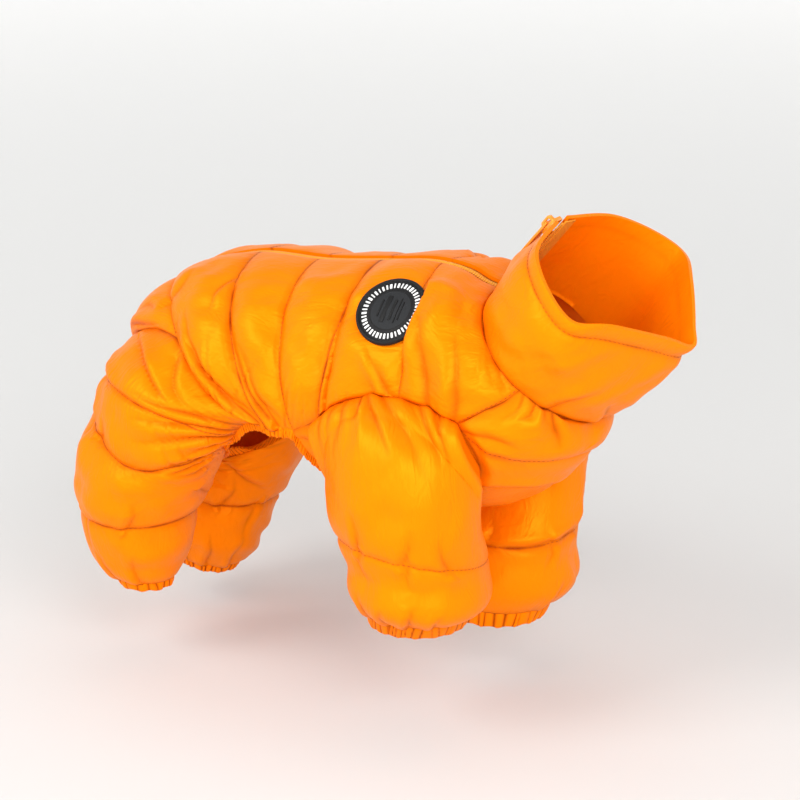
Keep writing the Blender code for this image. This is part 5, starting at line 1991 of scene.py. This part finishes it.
# ------------ badge
@dataclass
class Badge:
    """The round moulded badge, bent to the panel that it lies on."""

    panel: Shell
    # section of the rim and the base, as radius and height
    rim: tuple = ((10.6, 1.60), (11.0, 1.25), (11.6, 1.25), (15.9, 1.25), (16.2, 1.5),
                  (16.4, 2.1), (16.8, 2.35), (17.3, 2.35), (17.7, 2.1), (17.95, 1.5),
                  (18.0, 0.8), (17.9, 0.2), (17.4, 0.0), (9.0, 0.0))
    # section of the grey middle
    middle: tuple = ((0.1, 1.66), (9.8, 1.66), (10.3, 1.62), (10.5, 1.4), (10.5, 0.9))
    sides: int = 160  # steps round it
    ring: float = 13.8  # radius of the ring of white marks
    widths: tuple = (0.55, 0.36, 0.62, 0.44, 0.52, 0.34)  # half widths of those marks, in turn
    count: int = 44  # how many marks there are
    # the bars on the middle: place, half length and half width
    rows: tuple = ((-5.6, 4.6, 0.45), (-2.6, 7.2, 1.25), (1.2, 5.6, 0.75), (4.0, 6.6, 0.3),
                   (5.7, 5.0, 0.3))

    def __post_init__(self) -> None:
        """Fit the badge's bed to the panel's padded layer."""
        panel = self.panel
        surface = panel.outer + panel.normals * (WALL / 2)
        self.centre = trunk(BADGE_S, BADGE_ANGLE, Side.RIGHT)
        away = np.linalg.norm(panel.points - self.centre, axis=-1)
        self.out = unit(panel.normals[np.unravel_index(np.argmin(away), away.shape)])
        self.fore = unit(np.array([1.0, 0.0, 0.0]) - self.out[0] * self.out)
        self.aside = np.cross(self.out, self.fore)
        local = surface[(away < BADGE_RADIUS * 1.1) & (panel.place[..., 0] < 0.80)] - self.centre
        bed, height = self.terms(local @ self.fore, local @ self.aside), local @ self.out
        self.bend, *_ = np.linalg.lstsq(bed, height, rcond=None)
        self.lift = float(np.percentile(height - bed @ self.bend, 96)) + 0.1

    @staticmethod
    def terms(u: Array, v: Array) -> Array:
        """Terms of a curved bed at places on it."""
        return np.stack([np.ones_like(u), u, v, u * u, u * v, v * v], -1)

    def at(self, u: Array, v: Array, above: Array) -> Array:
        """Points over the badge's bed.

        Args:
            u: Distances forward from its middle.
            v: Distances aside.
            above: Heights.

        Returns:
            The points.
        """
        u, v, above = np.broadcast_arrays(u, v, above)
        base = self.terms(u, v) @ self.bend + self.lift + above
        return (self.centre + u[..., None] * self.fore + v[..., None] * self.aside
                + base[..., None] * self.out)

    def disc(self, rings: tuple, low: float) -> Body:
        """A body turned about the badge's middle.

        Args:
            rings: Radius and height of each of its section's points.
            low: Height of the middle of its underside.

        Returns:
            Vertices and faces.
        """
        turn = 2 * np.pi * np.arange(self.sides) / self.sides
        radius, height = np.array(rings).T[..., None]
        points = self.at(radius * np.cos(turn), radius * np.sin(turn), height).reshape(-1, 3)
        ends = [self.at(0.0, 0.0, rings[0][1]), self.at(0.0, 0.0, low)]
        grid, last = np.arange(len(points)).reshape(-1, self.sides), len(points)
        faces = [tube_quads(*grid.shape), fan(last, grid[0]),
                 fan(last + 1, grid[-1])[:, [0, 2, 1, 3]]]
        return np.concatenate([points, ends]), np.concatenate(faces)

    def block(self, u: float, v: float, half: tuple[float, float], turn: float, low: float,
              high: float) -> Body:
        """A raised block with softened edges.

        Args:
            u: Place of its middle, forward.
            v: Place of its middle, aside.
            half: Its half sizes.
            turn: Its turn about the badge's middle.
            low: Height of its base.
            high: Height of its top.

        Returns:
            Vertices and faces.
        """
        corners = np.array([(1, -0.8), (1, 0.8), (0.8, 1), (-0.8, 1), (-1, 0.8), (-1, -0.8),
                            (-0.8, -1), (0.8, -1)])
        outline, cos, sin = corners * half, math.cos(turn), math.sin(turn)
        vertices = []
        for scale, inset, height in ((1, 0.0, low), (1, 0.0, high - 0.12), (1, 0.14, high),
                                     (0, 0.0, high)):
            ring = scale * outline - np.sign(outline) * min(half) * inset
            vertices.append(self.at(u + ring[:, 0] * cos - ring[:, 1] * sin,
                                    v + ring[:, 0] * sin + ring[:, 1] * cos, height))
        return np.concatenate(vertices), grid_quads(index_grid(len(vertices), len(corners), True))

    def dress(self, shop: Workshop) -> None:
        """Add the rim, the middle and, in place of any words, plain marks and bars.

        Args:
            shop: The workshop.
        """
        turns = [2 * math.pi * k / self.count for k in range(self.count)]
        marks = [self.block(self.ring * math.cos(turn), self.ring * math.sin(turn),
                            (1.35, self.widths[k % len(self.widths)]), turn, 1.15, 1.5)
                 for k, turn in enumerate(turns)]
        bars = [self.block(u, 0.0, (wide, long), 0.0, 1.4, 1.95) for u, long, wide in self.rows]
        shop.add("badge.rim", self.disc(self.rim, 0.0), "rubber", 40.0, "badge")
        shop.add("badge.middle", self.disc(self.middle, 0.9), "grey", 40.0)
        shop.add("badge.marks", joined(marks), "white", 40.0)
        shop.add("badge.bars", joined(bars), "rubber", 40.0)


# ------------ stitches
@dataclass(frozen=True)
class Stitching:
    """Runs of stitches."""

    length: float = 1.7
    gap: float = 0.8
    thread: float = 0.13  # half the thread's thickness

    def along(self, line: Array, normals: Array) -> list[Body]:
        """Make the stitches of one run.

        Args:
            line: Points on the cloth.
            normals: The cloth's normals.

        Returns:
            Vertices and faces of each stitch.
        """
        reach = lengths_along(line)
        starts = np.arange(0.8, reach[-1] - self.length - 0.8, self.length + self.gap)
        rise = np.array([-0.20, 0.04, 0.08, 0.04, -0.20])[:, None]
        size = (np.array([0.5, 1.0, 1.0, 1.0, 0.5]) * self.thread)[:, None]
        at = starts[:, None] + np.array([0.0, 0.18, 0.5, 0.82, 1.0])[None] * self.length
        spot = read_along(reach, line, at)
        normal = unit(read_along(reach, normals, at))
        aside = unit(np.cross(np.gradient(spot, axis=1), normal))
        ring = (2 * np.pi * (np.arange(6) + 0.5) / 6)[:, None, None]
        return [bar(middle + size * (np.cos(ring) * over + np.sin(ring) * out))
                for middle, out, over in zip(spot + normal * rise, normal, aside)]

    def dress(self, shop: Workshop, suit: Suit) -> None:
        """Stitch the quilted lines, and the armholes' upper seams.

        Args:
            shop: The workshop.
            suit: The jumpsuit.
        """
        stitches = []
        for shell in suit.shells:
            top = shell.layers()[0]
            for row in shell.sewn[1:-1]:
                line, normals = top[row], shell.normals[row]
                if shell.closed:
                    line, normals = np.vstack([line, line[:1]]), np.vstack([normals, normals[:1]])
                stitches += self.along(line, normals)
        shoulder = bay_lines(BACK_BAYS)["armhole_front"] * suit.chest.fine
        for side in Side:
            back = suit.backs[side]
            stitches += self.along(back.layers()[0][shoulder:, -2], back.normals[shoulder:, -2])
        shop.add("stitches", joined(stitches), "thread", 60.0)


# ------------ room and lights
@dataclass(frozen=True)
class Lamp:
    """A soft rectangular light."""

    name: str
    at: tuple[float, float, float]
    to: tuple[float, float, float]  # the point that it faces
    size: tuple[float, float]  # width and height in metres
    power: float  # power in watts
    colour: Colour

    def build(self) -> None:
        """Hang the light."""
        lamp = bpy.data.lights.new(self.name, "AREA")
        lamp.shape, (lamp.size, lamp.size_y) = "RECTANGLE", self.size
        lamp.energy, lamp.color = self.power, self.colour
        thing = put_in_scene(self.name, lamp)
        thing.location, thing.visible_camera = self.at, False
        ahead = Vector(self.to) - Vector(self.at)
        thing.rotation_euler = ahead.to_track_quat("-Z", "Y").to_euler()


@dataclass(frozen=True)
class Studio:
    """A pale seamless room with soft light from all round, in metres."""

    floor: float = -0.221  # height of the floor
    radius: float = 3.2
    bend: float = 0.6  # radius of the curve between floor and wall
    height: float = 2.6  # height of the wall
    steps: int = 72  # steps round the room

    LAMPS = (
        Lamp("key", (-0.65, -1.24, 1.0), (0.0, 0.0, -0.04), (0.8, 0.8), 12.5, (1.0, 0.99, 0.97)),
        Lamp("front", (1.10, -1.00, 0.75), (0.05, 0.0, -0.06), (0.9, 0.9), 15.5,
             (1.0, 0.99, 0.98)),
        Lamp("low", (0.35, -1.35, 0.12), (0.0, 0.0, -0.08), (0.9, 0.5), 5.2, (1.0, 0.99, 0.98)),
        Lamp("top", (0.0, 0.25, 1.7), (0.0, 0.0, 0.0), (1.2, 1.0), 3.5, (1.0, 1.0, 1.0)),
    )

    def build(self) -> None:
        """Make the room, the lights, the camera and the view settings."""
        self.cove()
        self.world()
        for lamp in self.LAMPS:
            lamp.build()
        self.camera()
        bpy.context.scene.view_settings.view_transform = "Standard"

    def cove(self) -> None:
        """The round floor, curving up into a wall all round."""
        inner, bend = self.radius - self.bend, self.bend
        curve = [(1.3, 0.0), *((inner + bend * math.sin(a), bend - bend * math.cos(a))
                               for a in np.linspace(0, math.pi / 2, 12)),
                 (self.radius, self.height)]
        turns = np.linspace(0, 2 * math.pi, self.steps, endpoint=False)
        vertices = [(r * math.cos(a), r * math.sin(a), z + self.floor) for r, z in curve
                    for a in turns]
        mesh = bpy.data.meshes.new("room")
        mesh.from_pydata(vertices, [], [range(self.steps),
                                        *tube_quads(len(curve), self.steps).tolist()])
        mesh.shade_smooth()
        mesh.materials.append(self.paper())
        put_in_scene("room", mesh)

    @staticmethod
    def paper() -> bpy.types.Material:
        """Pale paper with painted light: it glows more where it is far from the middle of the floor.

        Returns:
            The material.
        """
        paper = bpy.data.materials.new("paper")
        paper.use_nodes = True
        tree = paper.node_tree
        shader = tree.nodes["Principled BSDF"].inputs
        shader["Base Color"].default_value = (0.70, 0.70, 0.695, 1.0)
        shader["Roughness"].default_value = 0.85
        shader["Emission Color"].default_value = (1.0, 0.997, 0.99, 1.0)
        # painted light: the emission strength rises from the floor's middle out to the wall
        place = add_node(tree, "NewGeometry").outputs["Position"]
        away = add_node(tree, "VectorMath", {0: place}, operation="LENGTH").outputs["Value"]
        glow = add_node(tree, "MapRange", {"Value": away, "From Min": 0.4, "From Max": 2.2,
                                           "To Min": 0.04, "To Max": 0.38})
        tree.links.new(glow.outputs["Result"], shader["Emission Strength"])
        return paper

    @staticmethod
    def world() -> None:
        """Even pale light from everywhere."""
        world = bpy.data.worlds.new("room_light")
        world.use_nodes = True
        back = world.node_tree.nodes["Background"].inputs
        back["Color"].default_value = (1.0, 1.0, 1.0, 1.0)
        back["Strength"].default_value = 0.46
        bpy.context.scene.world = world

    @staticmethod
    def camera() -> None:
        """The camera, to the wearer's right and ahead of it."""
        lens = bpy.data.cameras.new("camera")
        lens.lens, lens.sensor_width = 123.9, 36.0
        thing = put_in_scene("camera", lens)
        thing.location = (0.6634, -1.0932, 0.3490)
        thing.rotation_euler = (math.radians(72), 0.0, math.radians(32.1))
        bpy.context.scene.camera = thing


# ------------ putting it together
# For each kind of piece: pitch, depth and reach of the puckers on rows, then on side seams.
GATHERS = {
    "back": ((4.8, 0.42, 8.0), (4.6, 0.42, 7.0)),
    "chest": ((5.0, 0.34, 7.0), (4.4, 0.34, 8.0)),
    "collar": ((6.5, 0.30, 8.0), (6.0, 0.2, 5.0)),
    "sleeve": ((5.0, 0.36, 8.0), (5.0, 0.3, 6.0)),
    "leg": ((4.8, 0.42, 9.0), (3.6, 0.50, 12.0)),
}
# And the painted shade of its stitched rows, as strength and width, then of its side edges.
SHADES = {
    "back": (((0.6, 0.6), (0.5, 0.6), (1.0, 1.1), (0.6, 0.6), (1.0, 1.1), (0.6, 0.6), (1.0, 1.3)),
             ((0.2, 0.4), (0.85, 0.8))),
    "chest": (((0.5, 0.6), (0.4, 0.6), (1.0, 1.3)), ((1.0, 1.3), (1.0, 1.3))),
    "collar": (((1.0, 1.2), (0.6, 0.6), (0.0, 1.0)), ((0.3, 0.5), (0.3, 0.5))),
    "sleeve": (((0.9, 0.7), (0.45, 0.6), (0.9, 0.8)), ()),
    "sleeve_left": (((1.0, 1.0), (0.95, 1.2), (0.9, 0.8)), ()),
    "leg": (((1.0, 1.2), (0.8, 0.8), (1.0, 1.2), (0.9, 0.9), (0.9, 0.8)),
            ((0.7, 0.7), (0.7, 0.7))),
}
# Front edge of the badge's lap: angle from the spine and station.
LAP_ANGLES = (20, 33, 45, 57, 70, 84)
LAP_STATIONS = (0.812, 0.832, 0.8206, 0.800, 0.780, 0.757)
TRUNK_LENGTH = 225.0      # millimetres to one station, near the shoulder
FORE_CUFF, HIND_CUFF = 9.0, 5.0


def gathers_of(shell: Shell) -> list[Gather]:
    """The puckers along all of a piece's stitched lines.

    Args:
        shell: The piece.

    Returns:
        The puckers.
    """
    kind = shell.name.split("_")[0]
    on_rows, on_edges = GATHERS[kind]
    made = [Gather(row, True, *on_rows) for row in shell.sewn]
    if kind in ("sleeve", "leg"):
        made.append(Gather(shell.sewn[-1], True, 3.9, 0.7, 7.0))
    if kind == "sleeve":
        made.append(Gather(0, True, 8.5, 0.26, 20.0))
    if not shell.closed:
        made += [Gather(side, False, *on_edges) for side in (0, -1)]
    if kind == "back":
        flank, belly = shell.sewn[2], shell.sewn[3]
        made += [Gather(-1, False, 4.4, 1.1, 30.0, flank - 50, belly + 12, -0.5),
                 Gather(-1, False, 3.0, 0.7, 14.0, flank - 40, belly + 16, -0.3)]
    if kind == "leg":
        made += [Gather(0, False, 4.6, 1.2, 34.0, 4, shell.sewn[2] + 30, -0.3),
                 Gather(0, False, 3.0, 0.7, 16.0, 4, shell.sewn[2] + 40, -0.2)]
    return made


def roll_over_badge(shell: Shell) -> None:
    """Roll the padding ahead of the withers line back over the badge's front edge.

    Args:
        shell: The back panel.
    """
    s, angle = shell.place[..., 0], shell.place[..., 1]
    ahead = (s - np.interp(angle, LAP_ANGLES, LAP_STATIONS)) * TRUNK_LENGTH
    around = smooth_step(22, 34, angle) * (1 - smooth_step(60, 74, angle))
    up = smooth_step(-1.0, 2.4, ahead) * (1 - smooth_step(9.0, 26.0, ahead)) * around
    back = smooth_step(0.0, 2.0, ahead) * (1 - smooth_step(4.0, 14.0, ahead)) * around
    tail = -unit(np.gradient(shell.points, axis=0))
    shell.outer = (shell.outer + up[..., None] * shell.normals * 3.2
                   + back[..., None] * tail * 1.6)


def sew(shell: Shell) -> None:
    """Pad, refine, gather and crease one piece, and paint shade into its puckers, folds and stitched
    lines.

    Args:
        shell: The piece.
    """
    rng = np.random.default_rng(sum(map(ord, shell.name)))
    shell.fill(blow(shell, 0.006, 4.0, 16))
    shell.refine()
    shell.swell(rng)
    relief = sum(shell.gather_heights(gather, rng) for gather in gathers_of(shell))
    shell.press(relief * np.clip(shell.loft / 3.0, 0.25, 1.0))
    # painted shade in the valleys of the puckers
    shell.shade = np.clip(-0.45 * relief - 0.12, 0, 0.5)
    for row in FOLDS[shell.name].strip().splitlines():
        shell.press(shell.fold_heights(Fold.read(row)))
    if shell.name == "back_right":
        roll_over_badge(shell)
    # painted shade in the stitched rows and along the side edges
    rows, edges = SHADES.get(shell.name) or SHADES[shell.name.split("_")[0]]
    for row, (strength, width) in zip(shell.sewn, rows):
        shell.darken(row, True, strength, width, rng)
    for column, (strength, width) in zip((0, -1), edges):
        shell.darken(column, False, strength, width, rng)


def main() -> None:
    """Build the jumpsuit, the room and the view."""
    suit, shop = Suit(), Workshop()
    for shell in suit.shells:
        sew(shell)
        log.info("sewn %s", shell.name)
    cloth = {shell.name: shop.add(shell.name + ".cloth", shell.solid(), "nylon", 70.0, shell.name)
             for shell in suit.shells}
    for side in Side:
        cuff(f"cuff_front_{side.word}", suit.sleeves[side], FORE_CUFF).dress(shop)
        cuff(f"cuff_hind_{side.word}", suit.legs[side], HIND_CUFF).dress(shop)
    opening_hem(suit).dress(shop)
    log.info("cuffs and hem gathered")
    Zip(suit).dress(shop)
    log.info("zip closed")
    Badge(suit.backs[Side.RIGHT]).dress(shop)
    log.info("badge laid on")
    Stitching().dress(shop, suit)
    log.info("stitched, %d triangles", shop.triangles)
    Studio().build()


if __name__ == "__main__":
    logging.basicConfig(level=logging.INFO)
    main()
